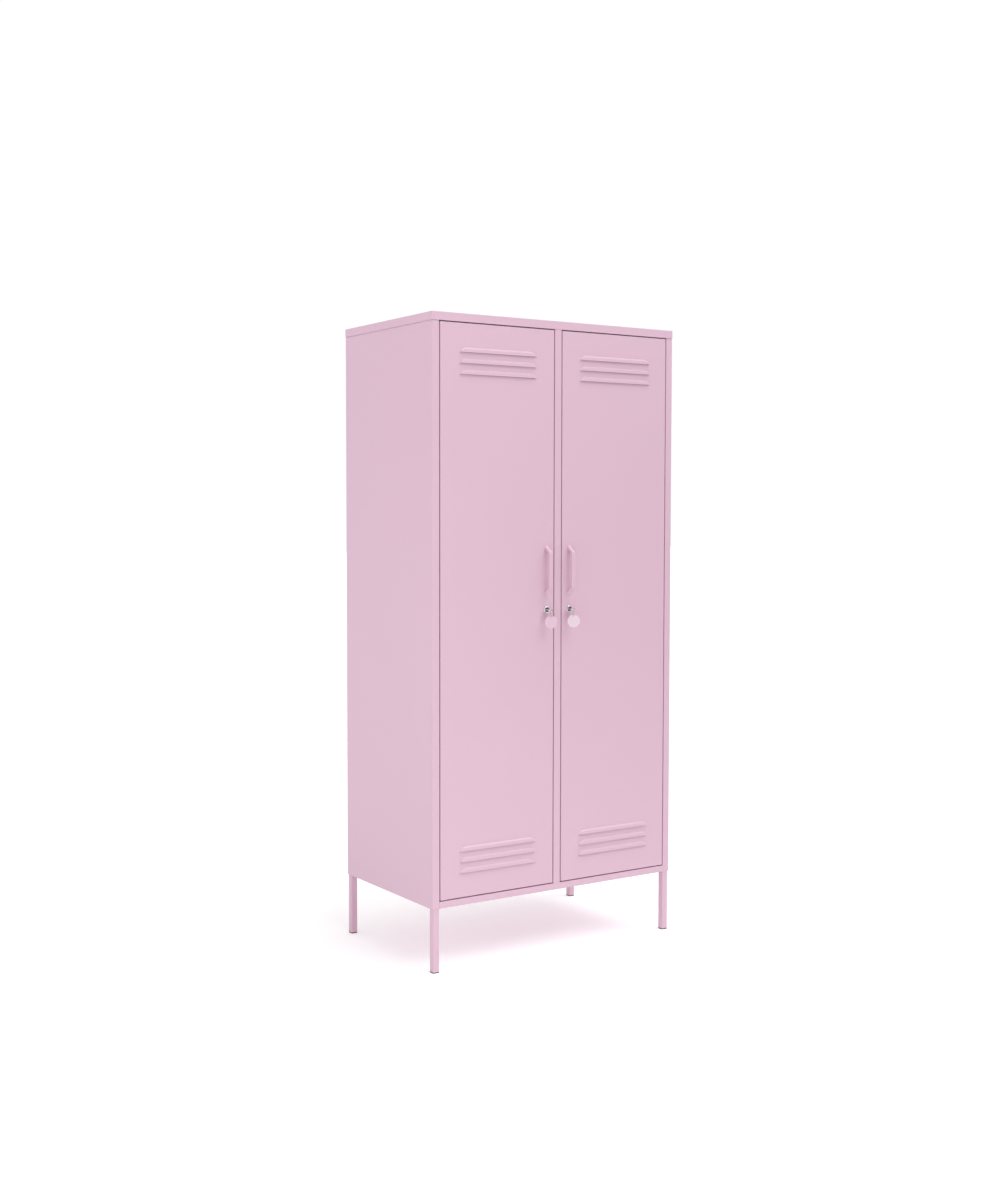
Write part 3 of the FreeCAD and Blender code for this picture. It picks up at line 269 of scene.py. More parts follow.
class Term:
    """A shader socket that can be reckoned with."""

    def __init__(self, tree, socket):
        self.tree, self.socket = tree, socket

    def _maths(self, operation, *values):
        node = self.tree.nodes.new("ShaderNodeMath")
        node.operation = operation
        for socket, value in zip(node.inputs, values):
            feed(self.tree, socket, value)
        return Term(self.tree, node.outputs[0])

    def __add__(self, other):
        return self._maths("ADD", self, other)

    def __sub__(self, other):
        return self._maths("SUBTRACT", self, other)

    def __mul__(self, other):
        return self._maths("MULTIPLY", self, other)

    def __radd__(self, other):
        return self._maths("ADD", other, self)

    def __rsub__(self, other):
        return self._maths("SUBTRACT", other, self)

    def __rmul__(self, other):
        return self._maths("MULTIPLY", other, self)

    def clamped(self):
        node = self._maths("ADD", self, 0)
        node.socket.node.use_clamp = True
        return node


def feed(tree, socket, value):
    if isinstance(value, Term):
        tree.links.new(value.socket, socket)
    else:
        socket.default_value = value


class Finish:
    """One material with its principled shader."""

    def __init__(self, slot, colour, roughness, **constants):
        self.slot = slot
        self.material = bpy.data.materials.new(slot)
        self.material.use_nodes = True
        self.tree = self.material.node_tree
        self.shader = self.tree.nodes["Principled BSDF"]
        self.colour = (*colour, 1)
        self.set(**{"Base Color": self.colour, "Roughness": roughness, **constants})
        self.place = self.node("ShaderNodeTexCoord", "Object")

    def set(self, **values):
        for name, value in values.items():
            feed(self.tree, self.shader.inputs[name], value)

    def node(self, kind, output, settings=None, **sockets):
        made = self.tree.nodes.new(kind)
        for name, value in (settings or {}).items():
            setattr(made, name, value)
        for name, value in sockets.items():
            feed(self.tree, made.inputs[name.replace("_", " ")], value)
        return Term(self.tree, made.outputs[output])

    def noise(self, scale, detail=2.0, roughness=0.5, stretch=None):
        place = self.place
        if stretch:
            place = self.node("ShaderNodeMapping", "Vector", Vector=place, Scale=stretch)
        return self.node("ShaderNodeTexNoise", "Fac", Vector=place, Scale=scale, Detail=detail,
                         Roughness=roughness)

    def mixed(self, factor, first, second):
        made = self.tree.nodes.new("ShaderNodeMix")
        made.data_type = "RGBA"
        for index, value in ((0, factor), (6, first), (7, second)):
            feed(self.tree, made.inputs[index], value)
        return Term(self.tree, made.outputs[2])

    def tinted(self, amount):
        return tuple(min(channel * amount, 1) for channel in self.colour[:3]) + (1,)

    def bump(self, height, depth, strength=1.0):
        normal = self.node("ShaderNodeBump", "Normal", Height=height, Distance=depth,
                           Strength=strength)
        self.set(Normal=normal)


def powder_coat(slot, colour):
    coat = Finish(slot, colour, 0.4, **{"IOR": 1.5, "Coat Weight": 0.0})
    peel = coat.noise(520, 2.5, 0.55)
    cloud = coat.noise(3.2, 3.0)
    coat.set(**{"Base Color": coat.mixed(cloud, coat.tinted(0.985), coat.tinted(1.012)),
                "Roughness": 0.38 + peel * 0.06 + cloud * 0.05})
    coat.bump(peel, 0.00005, 0.35)
    return coat


def plated(slot, colour, roughness, grain, spread, stretch=None):
    metal = Finish(slot, colour, roughness, Metallic=1.0)
    grains = metal.noise(grain, 4.0, 0.6, stretch)
    smear = metal.noise(60, 3.0)
    metal.set(**{"Base Color": metal.mixed(smear, metal.tinted(0.9), metal.tinted(1.04)),
                 "Roughness": (roughness + (grains - 0.5) * spread
                               + (smear - 0.5) * spread * 0.6).clamped()})
    metal.bump(grains, 0.00003, 0.25)
    return metal


def moulded(slot, colour, roughness, relief=0.00004, scatter=0.0):
    plastic = Finish(slot, colour, roughness, **{"IOR": 1.47, "Subsurface Weight": scatter,
                                                "Subsurface Scale": 0.002})
    grain = plastic.noise(1400, 2.0)
    cloud = plastic.noise(45, 2.0)
    plastic.set(**{"Base Color": plastic.mixed(cloud, plastic.tinted(0.97), plastic.tinted(1.02)),
                   "Roughness": roughness + (grain - 0.5) * 0.12 + (cloud - 0.5) * 0.06})
    plastic.bump(grain, relief, 0.4)
    return plastic


def passivated(slot):
    metal = Finish(slot, (0.56, 0.53, 0.44), 0.34, Metallic=1.0)
    drift = metal.noise(70, 2.0)
    grain = metal.noise(900, 3.0)
    tints = metal.mixed((drift * 2.2 - 0.6).clamped(), (0.60, 0.52, 0.34, 1), (0.55, 0.56, 0.55, 1))
    metal.set(**{"Base Color": tints, "Roughness": 0.28 + grain * 0.14})
    metal.bump(grain, 0.00003, 0.3)
    return metal


PINK = powder_coat("pink_powder_coat", (0.715, 0.487, 0.598))
ZINC = plated("zinc_steel", (0.62, 0.63, 0.64), 0.34, 700, 0.16)
CHROME = plated("lock_chrome", (0.82, 0.82, 0.84), 0.09, 1500, 0.05)
NICKEL = plated("key_nickel", (0.74, 0.73, 0.70), 0.2, 900, 0.12, (1, 0.15, 1))
CAM = passivated("cam_steel")
TAGS = {"left": moulded("tag_pink", (0.76, 0.54, 0.645), 0.45),
        "right": moulded("tag_pale_pink", (0.82, 0.66, 0.74), 0.45)}
NYLON = moulded("white_nylon", (0.83, 0.83, 0.81), 0.42, scatter=0.05)
GLIDE = moulded("black_glide", (0.035, 0.035, 0.037), 0.5)
RUBBER = moulded("grey_rubber", (0.10, 0.10, 0.105), 0.8, 0.00008)


# ---------------------------------------------------------------- repeated pieces


class Tree:
    """A geometry node tree with named inputs."""

    def __init__(self, name, **inputs):
        self.tree = bpy.data.node_groups.new(name, "GeometryNodeTree")
        self.keys = {}
        for label, kind in inputs.items():
            socket = self.tree.interface.new_socket(label.replace("_", " "), in_out="INPUT",
                                                    socket_type=f"NodeSocket{kind}")
            self.keys[label] = socket.identifier
        self.tree.interface.new_socket("Geometry", in_out="OUTPUT",
                                       socket_type="NodeSocketGeometry")
        self.source = self.tree.nodes.new("NodeGroupInput")
        self.drain = self.tree.nodes.new("NodeGroupOutput")

    def given(self, label):
        return Term(self.tree, self.source.outputs[label.replace("_", " ")])

    def node(self, kind, output, settings=None, **sockets):
        made = self.tree.nodes.new(kind)
        for name, value in (settings or {}).items():
            setattr(made, name, value)
        for name, value in sockets.items():
            for part in value if isinstance(value, list) else [value]:
                feed(self.tree, made.inputs[name.replace("_", " ")], part)
        return Term(self.tree, made.outputs[output])

    def line(self, count, start, step):
        return self.node("GeometryNodeMeshLine", "Mesh", {"mode": "OFFSET"}, Count=count,
                         Start_Location=start, Offset=step)

    def close(self, geometry, finish):
        realized = self.node("GeometryNodeRealizeInstances", "Geometry", Geometry=geometry)
        painted = self.node("GeometryNodeSetMaterial", "Geometry", Geometry=realized,
                            Material=finish)
        self.tree.links.new(painted.socket, self.drain.inputs["Geometry"])

    def grow(self, base, **values):
        """The mesh that the tree makes with these inputs on the base mesh."""
        thing = linked(self.tree.name, base)
        growth = thing.modifiers.new(self.tree.name, "NODES")
        growth.node_group = self.tree
        for label, value in values.items():
            growth[self.keys[label]] = value
        bpy.context.view_layer.update()
        mesh = bake(thing).data
        bpy.data.objects.remove(thing)
        return mesh


ROWS = Tree("rows_of_fixings", Fixing="Object", Start="Vector", Columns="Int",
            Column_Step="Vector", Rows="Int", Row_Step="Vector", Finish="Material")
_columns = ROWS.line(ROWS.given("Columns"), ROWS.given("Start"), ROWS.given("Column_Step"))
_rows = ROWS.line(ROWS.given("Rows"), (0, 0, 0), ROWS.given("Row_Step"))
_spots = ROWS.node("GeometryNodeRealizeInstances", "Geometry", Geometry=ROWS.node(
    "GeometryNodeInstanceOnPoints", "Instances", Points=_columns, Instance=_rows))
_fixing = ROWS.node("GeometryNodeObjectInfo", "Geometry", Object=ROWS.given("Fixing"))
ROWS.close(ROWS.node("GeometryNodeInstanceOnPoints", "Instances", Points=_spots,
                     Instance=_fixing), ROWS.given("Finish"))

DOOR = Tree("louvred_door", Sheet="Geometry", Hood="Object", Louvres="Int",
            Pitch="Float", Lower_Start="Vector", Upper_Start="Vector",
            Weld="Float", Finish="Material")
_rise = DOOR.node("ShaderNodeCombineXYZ", "Vector", Z=DOOR.given("Pitch"))
_drop = DOOR.node("ShaderNodeCombineXYZ", "Vector", Z=0 - DOOR.given("Pitch"))
_lower = DOOR.line(DOOR.given("Louvres"), DOOR.given("Lower_Start"), _rise)
_upper = DOOR.line(DOOR.given("Louvres"), DOOR.given("Upper_Start"), _drop)
_hood = DOOR.node("GeometryNodeObjectInfo", "Geometry", Object=DOOR.given("Hood"))
_hoods = [DOOR.node("GeometryNodeRealizeInstances", "Geometry", Geometry=DOOR.node(
    "GeometryNodeInstanceOnPoints", "Instances", Points=spots, Instance=_hood))
    for spots in (_lower, _upper)]
_joined = DOOR.node("GeometryNodeJoinGeometry", "Geometry",
                    Geometry=[*_hoods, DOOR.given("Sheet")])
DOOR.close(DOOR.node("GeometryNodeMergeByDistance", "Geometry", Geometry=_joined,
                     Distance=DOOR.given("Weld")), DOOR.given("Finish"))


def rows_of(skin, finish, start, columns=1, column_step=(0, 0, 0), rows=1, row_step=(0, 0, 0)):
    """A skin holding the fixing repeated in rows and columns from the start."""
    fixing = linked("fixing", mesh_of("fixing", [skin]))
    mesh = ROWS.grow(bpy.data.meshes.new("rows"), Fixing=fixing, Start=start, Columns=columns,
                     Column_Step=column_step, Rows=rows, Row_Step=row_step,
                     Finish=finish.material)
    bpy.data.objects.remove(fixing)
    made = Skin()
    made.absorb(mesh)
    return made


def from_origin(function):
    """The same drawing directions, but starting from the origin instead of the front."""
    offset = Vector(function(0, 0, 0))
    return lambda u, v, w: tuple(Vector(function(u, v, w)) - offset)


# ---------------------------------------------------------------- carcass


def lid():
    """The top sheet with turned-down edges."""
    low, high = LID
    skin = Skin(lambda u, v, w: (u, v, high.z - w))
    skin.pan(low.x, high.x, low.y, high.y, high.z - low.z, BEND, 2.6 * MM)
    piece("lid", skin, "cabinet", ["top_panel"], PINK, SHEET, (0, 0, 1))


def side_panels():
    """Folded sides; a shallow groove is pressed in all the way along under the lid's edge."""
    wall = CARCASS[1].x
    post = wall - STILE
    groove = [(-2.7, 0), (-2.2, 0.1), (-1.8, 0.4), (-1.5, 0.8), (-1.3, 1.1), (0.4, 1.1), (0.8, 0.8),
              (1.2, 0.3), (1.6, 0)]
    rows = ([(LEG_TOP, 0), (FLOOR, 0)] + [(LID_EDGE + rise * MM, press * MM)
                                          for rise, press in groove] + [(CEILING, 0)])
    for name, side in SIDES.items():
        lines = []
        for z, press in rows:
            corners = [(post, FRONT + STILE_RETURN), (post, FRONT + press),
                       (wall - press, FRONT + press), (wall - press, BACK),
                       (wall - REAR_FLANGE, BACK)]
            lines.append([(side * u, v, z) for u, v in bent(corners, BEND)])
        skin = Skin()
        skin.loft([line[:2] for line in lines[1:]], closed=False)
        skin.loft([line[1:] for line in lines], closed=False)
        piece(f"{name}_side", skin, "cabinet", [f"{name}_side_panel"], PINK, SHEET, (side, 0, 0))


def back_wall():
    """The plain rear sheet with four holes for fixing the cabinet to a wall."""
    low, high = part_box("back_panel")
    upper = LID[1].z - 230 * MM
    column, drop = 300 * MM, 900 * MM
    holes = [circle(x, z, 4 * MM, 28) for x in (-column, column) for z in (upper, upper - drop)]
    skin = Skin(lambda u, v, w: (u, high.y - w, v))
    skin.flat([(low.x, low.z), (high.x, low.z), (high.x, high.z), (low.x, high.z)], holes, 0)
    piece("back_wall", skin, "cabinet", ["back_panel"], PINK, SHEET, (0, 1, 0))


def base():
    """Front rail, floor and rear edge folded from one sheet; each spans its own width."""
    line = bent([(FRONT + STILE_RETURN, LEG_TOP), (FRONT, LEG_TOP), (FRONT, FLOOR), (BACK, FLOOR),
                 (BACK, LEG_TOP)], BEND)
    post = CARCASS[1].x - STILE
    rim = CARCASS[1].x - REAR_FLANGE
    wall = CARCASS[1].x - SHEET
    seat = (FRONT + STILE_RETURN, FLOOR)
    rail = 1 + 2 * BEND_POINTS
    skin = Skin(along_x)
    skin.strip(line[:rail] + [seat], [-post, post])
    skin.strip([seat, line[rail]], [-wall, -rim, -post, post, rim, wall])
    skin.strip(line[rail:], [-rim, -post, post, rim])
    piece("base", skin, "cabinet", ["base_panel"], PINK, SHEET, (0, 0, 1))


def mullion():
    """The post between the doors, a channel with two inward lips."""
    low, high = MULLION
    lip = high.x - 7 * MM
    corners = [(lip, high.y), (high.x, high.y), (high.x, low.y), (low.x, low.y),
               (low.x, high.y), (-lip, high.y)]
    skin = Skin()
    skin.strip(bent(corners, BEND), [low.z, high.z])
    piece("mullion", skin, "cabinet", ["centre_mullion"], PINK, SHEET, (0, -1, 0))


def partition():
    """The wall between the bays, folded inside the mullion and notched round the header."""
    low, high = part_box("centre_partition")
    face = -SHEET / 2
    tongue = 8 * MM
    notch_y = FRONT + 21.3 * MM
    notch_z = LID_EDGE - 16.3 * MM
    line = bent([(tongue, low.y), (face, low.y), (face, high.y - SHEET),
                 (low.x, high.y - SHEET)], [BEND, FOLD])
    fold = 1 + BEND_POINTS
    edge = (face, notch_y)
    skin = Skin()
    skin.strip(line[:fold] + [edge], [low.z, notch_z])
    skin.strip([edge] + line[fold:], [low.z, notch_z, high.z])
    piece("partition", skin, "cabinet", ["centre_partition"], PINK, SHEET, (-1, 0, 0))


def header():
    """The channel over the doors; its stop flange is cut away for the mullion and the pivots."""
    low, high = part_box("header_channel")
    gauge = 1.5 * MM
    stop = high.y - gauge
    line = bent([(FRONT, high.z), (FRONT, LID_EDGE), (stop, LID_EDGE), (stop, low.z)],
                [2.2 * MM, FOLD])
    middle = MULLION[1].x
    swing = 375.5 * MM
    stations = [low.x, -swing, -middle, middle, swing, high.x]
    skin = Skin(along_x)
    skin.strip(line[:-1], stations)
    skin.strip(line[-2:], [-swing, -middle])
    skin.strip(line[-2:], [middle, swing])
    piece("header", skin, "cabinet", ["header_channel"], PINK, gauge, (0, -1, 0))


def bumpers():
    """Two domed rubber stops behind the top of each door."""
    low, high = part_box("door_bumpers")
    radius = (high.z - low.z) / 2
    depth = high.y - low.y
    dome = [(0, 0), (radius * 0.7, 0.04 * MM), (radius * 0.9, 0.22 * MM),
            (radius, depth * 0.6), (radius, depth), (0, depth)]
    skin = Skin(from_origin(along_y))
    skin.lathe(0, 0, dome)
    inset = 60 * MM
    made = []
    for name in SIDES:
        door_low, door_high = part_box(f"{name}_door_panel")
        first = Vector((door_low.x + inset, low.y, (low.z + high.z) / 2))
        made.append(rows_of(skin, RUBBER, first, 2,
                            (door_high.x - door_low.x - 2 * inset, 0, 0)))
    piece("bumpers", made, "cabinet", ["door_bumpers"], RUBBER)


def rivets():
    """Blind rivets in two columns; each is drawn about the rear face of the flange."""
    low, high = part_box("back_rivets")
    radius = 3.4 * MM
    rivets_in_column = 5
    face = high.y - BACK
    shank = low.y - BACK
    dome = [(0, face * 0.45), (0.95 * MM, face * 0.45), (1.05 * MM, face * 0.55),
            (1.1 * MM, face), (1.7 * MM, face), (2.6 * MM, face * 0.8), (radius * 0.97, face * 0.4),
            (radius, face * 0.12), (radius * 0.98, 0), (1.9 * MM, 0), (1.9 * MM, shank * 0.65),
            (2.5 * MM, shank * 0.75), (2.5 * MM, shank * 0.9), (1.9 * MM, shank), (0, shank)]
    skin = Skin(lambda u, v, w: (u, w, v))
    skin.lathe(0, 0, dome, 24)
    start = Vector((low.x + radius, BACK, low.z + radius))
    pitch = (high.z - low.z - 2 * radius) / (rivets_in_column - 1)
    made = rows_of(skin, ZINC, start, 2, (high.x - low.x - 2 * radius, 0, 0), rivets_in_column,
                   (0, 0, pitch))
    piece("rivets", made, "cabinet", ["back_rivets"], ZINC)


# ---------------------------------------------------------------- legs


def leg(end, name, side):
    """Square tube welded under a plate."""
    node = f"leg_{end}_{name}"
    low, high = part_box(node)
    tube, wall, plate = LEG_TUBE, 1.5 * MM, 3 * MM
    outer_x = CARCASS[1].x - 2.8 * MM
    x0, x1 = sorted((side * outer_x, side * (outer_x - tube)))
    y0, y1 = (low.y, low.y + tube) if end == "front" else (high.y - tube, high.y)
    under = high.z - plate
    outline = rounded(x0, x1, y0, y1, 2.2 * MM)
    bore = rounded(x0 + wall, x1 - wall, y0 + wall, y1 - wall, 0.9 * MM)
    skin = Skin()
    skin.plate(outline, [bore], low.z, under, 0.25 * MM)
    flange = Skin()
    flange.plate(rounded(low.x, high.x, low.y, high.y, 2.5 * MM), [], under, high.z, 0.4 * MM)
    piece(f"{end}_{name}_leg", [skin, flange], "cabinet", [node], PINK)
    leg_weld(f"{end}_{name}_leg_weld", outline, low, high, under)


def leg_weld(name, outline, low, high, under):
    """The bead in the corner between tube and plate; it stops at the plate's edges."""
    rows = [(0, 3 * MM), (1.1 * MM, 1.4 * MM), (2.6 * MM, 0.3 * MM), (2.8 * MM, 0), (0, 0),
            (0, 3 * MM)]
    weld = Skin()
    weld.loft([[(min(max(u, low.x), high.x), min(max(v, low.y), high.y), under - down)
                for u, v in grown(outline, out)] for out, down in rows])
    bead = linked(name, mesh_of("weld", [weld]))
    bead.data.shade_smooth()
    bead.data.materials.append(PINK.material)
    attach(bead, "cabinet")


def screw(skin, u, v, radius, head, shank, length, base=0.0, up=1):
    """A round-headed socket screw; its head stands on the base."""
    profile = [(0, 0.4 * head), (0.38 * radius, 0.42 * head), (0.4 * radius, head * 0.97),
               (0.5 * radius, head), (0.75 * radius, head * 0.9), (0.93 * radius, head * 0.66),
               (radius, head * 0.3), (radius * 0.98, 0), (shank, 0), (shank, 0.4 * MM - length),
               (shank * 0.75, -length), (0, -length)]
    skin.lathe(u, v, [(r, base + up * w) for r, w in profile], 28)


def leg_screws():
    """Three screws for each leg plate: two rows across the cabinet at the front and the rear."""
    low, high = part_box("leg_screws")
    skin = Skin()
    radius = 5.5 * MM
    screw(skin, 0, 0, radius, high.z - FLOOR, 3 * MM, FLOOR - low.z)
    plate, inset = 55 * MM, 9 * MM
    near_x = CARCASS[1].x - 1.1 * MM - inset
    far_x = near_x - plate + 2 * inset
    y_front = (low.y + radius, low.y + radius + plate - 2 * inset)
    y_rear = (high.y - radius, high.y - radius - plate + 2 * inset)
    made = []
    for first, second in (y_front, y_rear):
        made.append(rows_of(skin, ZINC, (-far_x, first, FLOOR), 2, (2 * far_x, 0, 0), 2,
                            (0, second - first, 0)))
        made.append(rows_of(skin, ZINC, (-near_x, second, FLOOR), 2, (2 * near_x, 0, 0)))
    piece("base_screws", made, "cabinet", ["leg_screws"], ZINC)


def glides():
    """A foot under each tube, with a plug that goes up inside it."""
    low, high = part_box("foot_glides")
    rise = 3 * MM
    half = LEG_TUBE / 2
    foot = Skin()
    foot.plate(rounded(-half, half, -half, half, 2.4 * MM), [], 0, rise, 0.7 * MM)
    plug = half - 1.6 * MM
    foot.plate(rounded(-plug, plug, -plug, plug, 0.8 * MM), [], rise - 0.01 * MM, high.z, 0.4 * MM)
    made = rows_of(foot, GLIDE, (low.x + half, low.y + half, low.z), 2,
                   (high.x - low.x - LEG_TUBE, 0, 0), 2, (0, high.y - low.y - LEG_TUBE, 0))
    piece("glides", made, "cabinet", ["foot_glides"], GLIDE)


# ---------------------------------------------------------------- inside the bays


def shelf(name, node, body):
    """A sheet with its front and rear edges folded down."""
    low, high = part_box(node)
    line = bent([(low.y, low.z), (low.y, high.z), (high.y, high.z), (high.y, low.z)], BEND)
    skin = Skin(along_x)
    skin.strip(line, [low.x, high.x])
    piece(name, skin, body, [node], PINK, SHEET, (0, 0, 1))


def clips(node):
    """Angles fixed to the bay walls under the shelves, one pair of rows for each wall."""
    low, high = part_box(node)
    gauge, width, reach, tall = 1.5 * MM, 14 * MM, 9 * MM, 16 * MM
    count = 3 if node.startswith("right") else 1
    pitch = (high.z - low.z - tall) / max(count - 1, 1)
    made = []
    for x, away in ((low.x, 1), (high.x, -1)):
        outer = bent([(0, -tall), (0, 0), (reach, 0)], 2 * MM)
        inner = bent([(reach, -gauge), (gauge, -gauge), (gauge, -tall)], 0.6 * MM)
        outline = (outer + inner)[::-1]
        if away < 0:
            outline = [(-u, v) for u, v in outline][::-1]
        skin = Skin(lambda u, v, w: (u, w, v))
        skin.plate(outline, [], 0, width, 0.25 * MM)
        made.append(rows_of(skin, ZINC, (x, low.y, low.z + tall), 2,
                            (0, high.y - low.y - width, 0), count, (0, 0, pitch)))
    piece(f"{node.split('_')[0]}_clips", made, "cabinet", [node], ZINC)


def rail():
    """A steel tube and the two cups that hold its ends."""
    low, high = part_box("hanging_rail")
    radius = (high.z - low.z) / 2
    y, z = (low.y + high.y) / 2, (low.z + high.z) / 2
    bore = radius - 1.2 * MM
    skin = Skin(along_x)
    skin.lathe(y, z, [(radius, low.x + 0.4 * MM), (radius, high.x - 0.4 * MM),
                      (radius - 0.4 * MM, high.x), (bore, high.x), (bore, low.x),
                      (radius - 0.4 * MM, low.x), (radius, low.x + 0.4 * MM)], 40)
    piece("rail", skin, "cabinet", ["hanging_rail"], ZINC)
    low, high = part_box("rail_sockets")
    bore = radius / MM + 0.1
    profile = [(0, 3), (bore, 3), (bore, 10), (11.4, 10), (12.4, 9.6), (12.9, 8.8), (13, 1.2),
               (13, 0), (0, 0)]
    cups = Skin(along_x)
    for wall, away in ((low.x, 1), (high.x, -1)):
        cups.lathe(y, z, [(r * MM, wall + away * w * MM) for r, w in profile], 40)
    piece("rail_cups", cups, "cabinet", ["rail_sockets"], NYLON)


def bushes():
    """Flanged sleeves that the pivot pins turn in, at the top and the foot of each door."""
    for name in SIDES:
        low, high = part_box(f"{name}_pivot_bushes")
        x, y = (low.x + high.x) / 2, (low.y + high.y) / 2
        skin = Skin()
        for seat, up in ((LID_EDGE, 1), (FLOOR, -1)):
            profile = [(2.55, -1.2), (2.85, -1.2), (5.2, -1.2), (5.5, -0.9), (5.5, 0), (4, 0),
                       (4, 4.4), (3.6, 4.8), (2.55, 4.8), (2.55, -1.2)]
            skin.lathe(x, y, [(r * MM, seat + up * w * MM) for r, w in profile])
        piece(f"{name}_bushes", skin, "cabinet", [f"{name}_pivot_bushes"], GLIDE)


# ---------------------------------------------------------------- doors

LOUVRES, LOUVRE_PITCH = 3, 30.4 * MM
LOUVRE_LENGTH, LOUVRE_HEIGHT, LOUVRE_RISE = 267 * MM, 14 * MM, 4.6 * MM
LOUVRE_SLANT, LOUVRE_TAPER = 19 * MM, 10 * MM
LOUVRE_ROUNDING = 1.4  # length of a rounded end, in slants
LOUVRE_FOOT, LOUVRE_HEAD = 70 * MM, 80 * MM
HANDLE_SCREWS = 128 * MM
BARREL_HOLE = 8.1 * MM


def smooth(t):
    """Eases from 0 to 1."""
    t = min(max(t, 0), 1)
    return t * t * (3 - 2 * t)


def hood_columns():
    """Places along a louvre, closer together at its rounded ends."""
    half = LOUVRE_LENGTH / 2
    steps = 12
    end = [half - LOUVRE_SLANT * LOUVRE_ROUNDING * (1 - math.cos(math.pi / 2 * n / steps))
           for n in range(steps + 1)]
    return [-x for x in end] + end[::-1]


def hood_top(x):
    """Height of the louvre's outline: a slanted end that rounds over into the level top."""
    q = (LOUVRE_LENGTH / 2 - abs(x)) / LOUVRE_SLANT
    return LOUVRE_HEIGHT * (1 - max(1 - q / LOUVRE_ROUNDING, 0) ** 2.2)


def hood():
    """One pressed louvre, open along its lower lip, drawn about the middle of its lower line."""
    rows = 14
    skin = Skin(from_origin(along_y))
    columns = []
    for x in hood_columns():
        height = hood_top(x)
        out = LOUVRE_RISE * smooth((LOUVRE_LENGTH / 2 - abs(x)) / LOUVRE_TAPER)
        column = []
        for n in range(rows + 1):
            t = n / rows
            slope = min((1 - t) * LOUVRE_HEIGHT / (5.6 * MM), 1)
            column.append((x, t * height, -out * (0.16 * (1 - t) + 0.84 * smooth(slope))))
        columns.append(column)
    skin.loft(columns, closed=False)
    return skin


def lock_axis(name):
    low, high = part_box(f"{name}_lock_barrel")
    return (low.x + high.x) / 2, (low.z + high.z) / 2


def door_holes(name, low, high):
    """Openings of the louvres, then those of the lock and of the handle's screws."""
    middle = (low.x + high.x) / 2
    lock_x, lock_z = lock_axis(name)
    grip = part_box(f"{name}_handle")
    grip_z = (grip[0].z + grip[1].z) / 2
    opening = [(x, hood_top(x)) for x in hood_columns()][::-1]
    steps = [n * LOUVRE_PITCH for n in range(LOUVRES)]
    lines = [line for step in steps
             for line in (low.z + LOUVRE_FOOT + step, high.z - LOUVRE_HEAD - step)]
    holes = [[(middle + u, line + v) for u, v in opening] for line in lines]
    holes.append(circle(lock_x, lock_z, BARREL_HOLE, 32))
    return holes + [circle(lock_x, grip_z + end * HANDLE_SCREWS / 2, 2.1 * MM, 16)
                    for end in (-1, 1)]


def door(name):
    """A pan with pressed louvres; its long edges are folded once more, inwards."""
    low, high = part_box(f"{name}_door_panel")
    depth = high.y - FRONT
    middle = (low.x + high.x) / 2
    corner, fold, lip = 2.4 * MM, 1.4 * MM, 12 * MM
    skin = Skin(along_y)
    skin.pan(low.x, high.x, low.z, high.z, depth - fold, BEND, corner,
             door_holes(name, low, high))
    for edge, inward in ((low.x, 1), (high.x, -1)):
        rows = [(edge + inward * fold * (1 - math.cos(a)), depth - fold * (1 - math.sin(a)), 0)
                for a in QUARTER] + [(edge + inward * lip, depth, lip - fold)]
        skin.loft([[(u, low.z + corner + mitre, w), (u, high.z - corner - mitre, w)]
                   for u, w, mitre in rows], closed=False)
    for z in (low.z, high.z):
        skin.loft([[(low.x + corner, z, w), (high.x - corner, z, w)]
                   for w in (depth - fold, depth)], closed=False)
    pressed = linked("louvre", mesh_of("louvre", [hood()]))
    mesh = DOOR.grow(mesh_of("door sheet", [skin]), Hood=pressed, Louvres=LOUVRES,
                     Pitch=LOUVRE_PITCH, Lower_Start=(middle, FRONT, low.z + LOUVRE_FOOT),
                     Upper_Start=(middle, FRONT, high.z - LOUVRE_HEAD), Weld=5e-6,
                     Finish=PINK.material)
    bpy.data.objects.remove(pressed)
    whole = Skin()
    whole.absorb(mesh)
    piece(f"{name}_door_leaf", whole, f"{name}_door", [f"{name}_door_panel"], PINK, SHEET,
          (0, -1, 0))


def stiffener(name):
    """A top-hat section up the back of the door."""
    low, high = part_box(f"{name}_door_stiffener")
    flat = low.y + SHEET
    foot = 14 * MM
    corners = [(low.x, flat), (low.x + foot, flat), (low.x + foot, high.y), (high.x - foot, high.y),
               (high.x - foot, flat), (high.x, flat)]
    skin = Skin()
    skin.strip(bent(corners, [FOLD, BEND, BEND, FOLD]), [low.z, high.z])
    piece(f"{name}_stiffener", skin, f"{name}_door", [f"{name}_door_stiffener"], PINK, SHEET,
          (0, 1, 0))


def pins(name):
    """The pivot pins in the door's end flanges, and a washer under the lower one."""
    low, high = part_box(f"{name}_pivot_pins")
    door_low, door_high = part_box(f"{name}_door_panel")
    x, y = (low.x + high.x) / 2, (low.y + high.y) / 2
    skin = Skin()
    for end, flange, up in ((high.z, door_high.z - SHEET, 1), (low.z, door_low.z + SHEET, -1)):
        profile = [(0, -2), (3.2, -2), (3.8, -1.7), (4, -1.2), (4, 0), (2.5, 0)]
        skin.lathe(x, y, [(r * MM, flange + up * w * MM) for r, w in profile]
                   + [(2.5 * MM, end - up * 0.6 * MM), (1.9 * MM, end), (0, end)])
    washer = [(2.5, -1.5), (3.7, -1.5), (4, -1.2), (4, 0), (2.5, 0), (2.5, -1.5)]
    skin.lathe(x, y, [(r * MM, door_low.z + w * MM) for r, w in washer])
    piece(f"{name}_pins", skin, f"{name}_door", [f"{name}_pivot_pins"], ZINC)


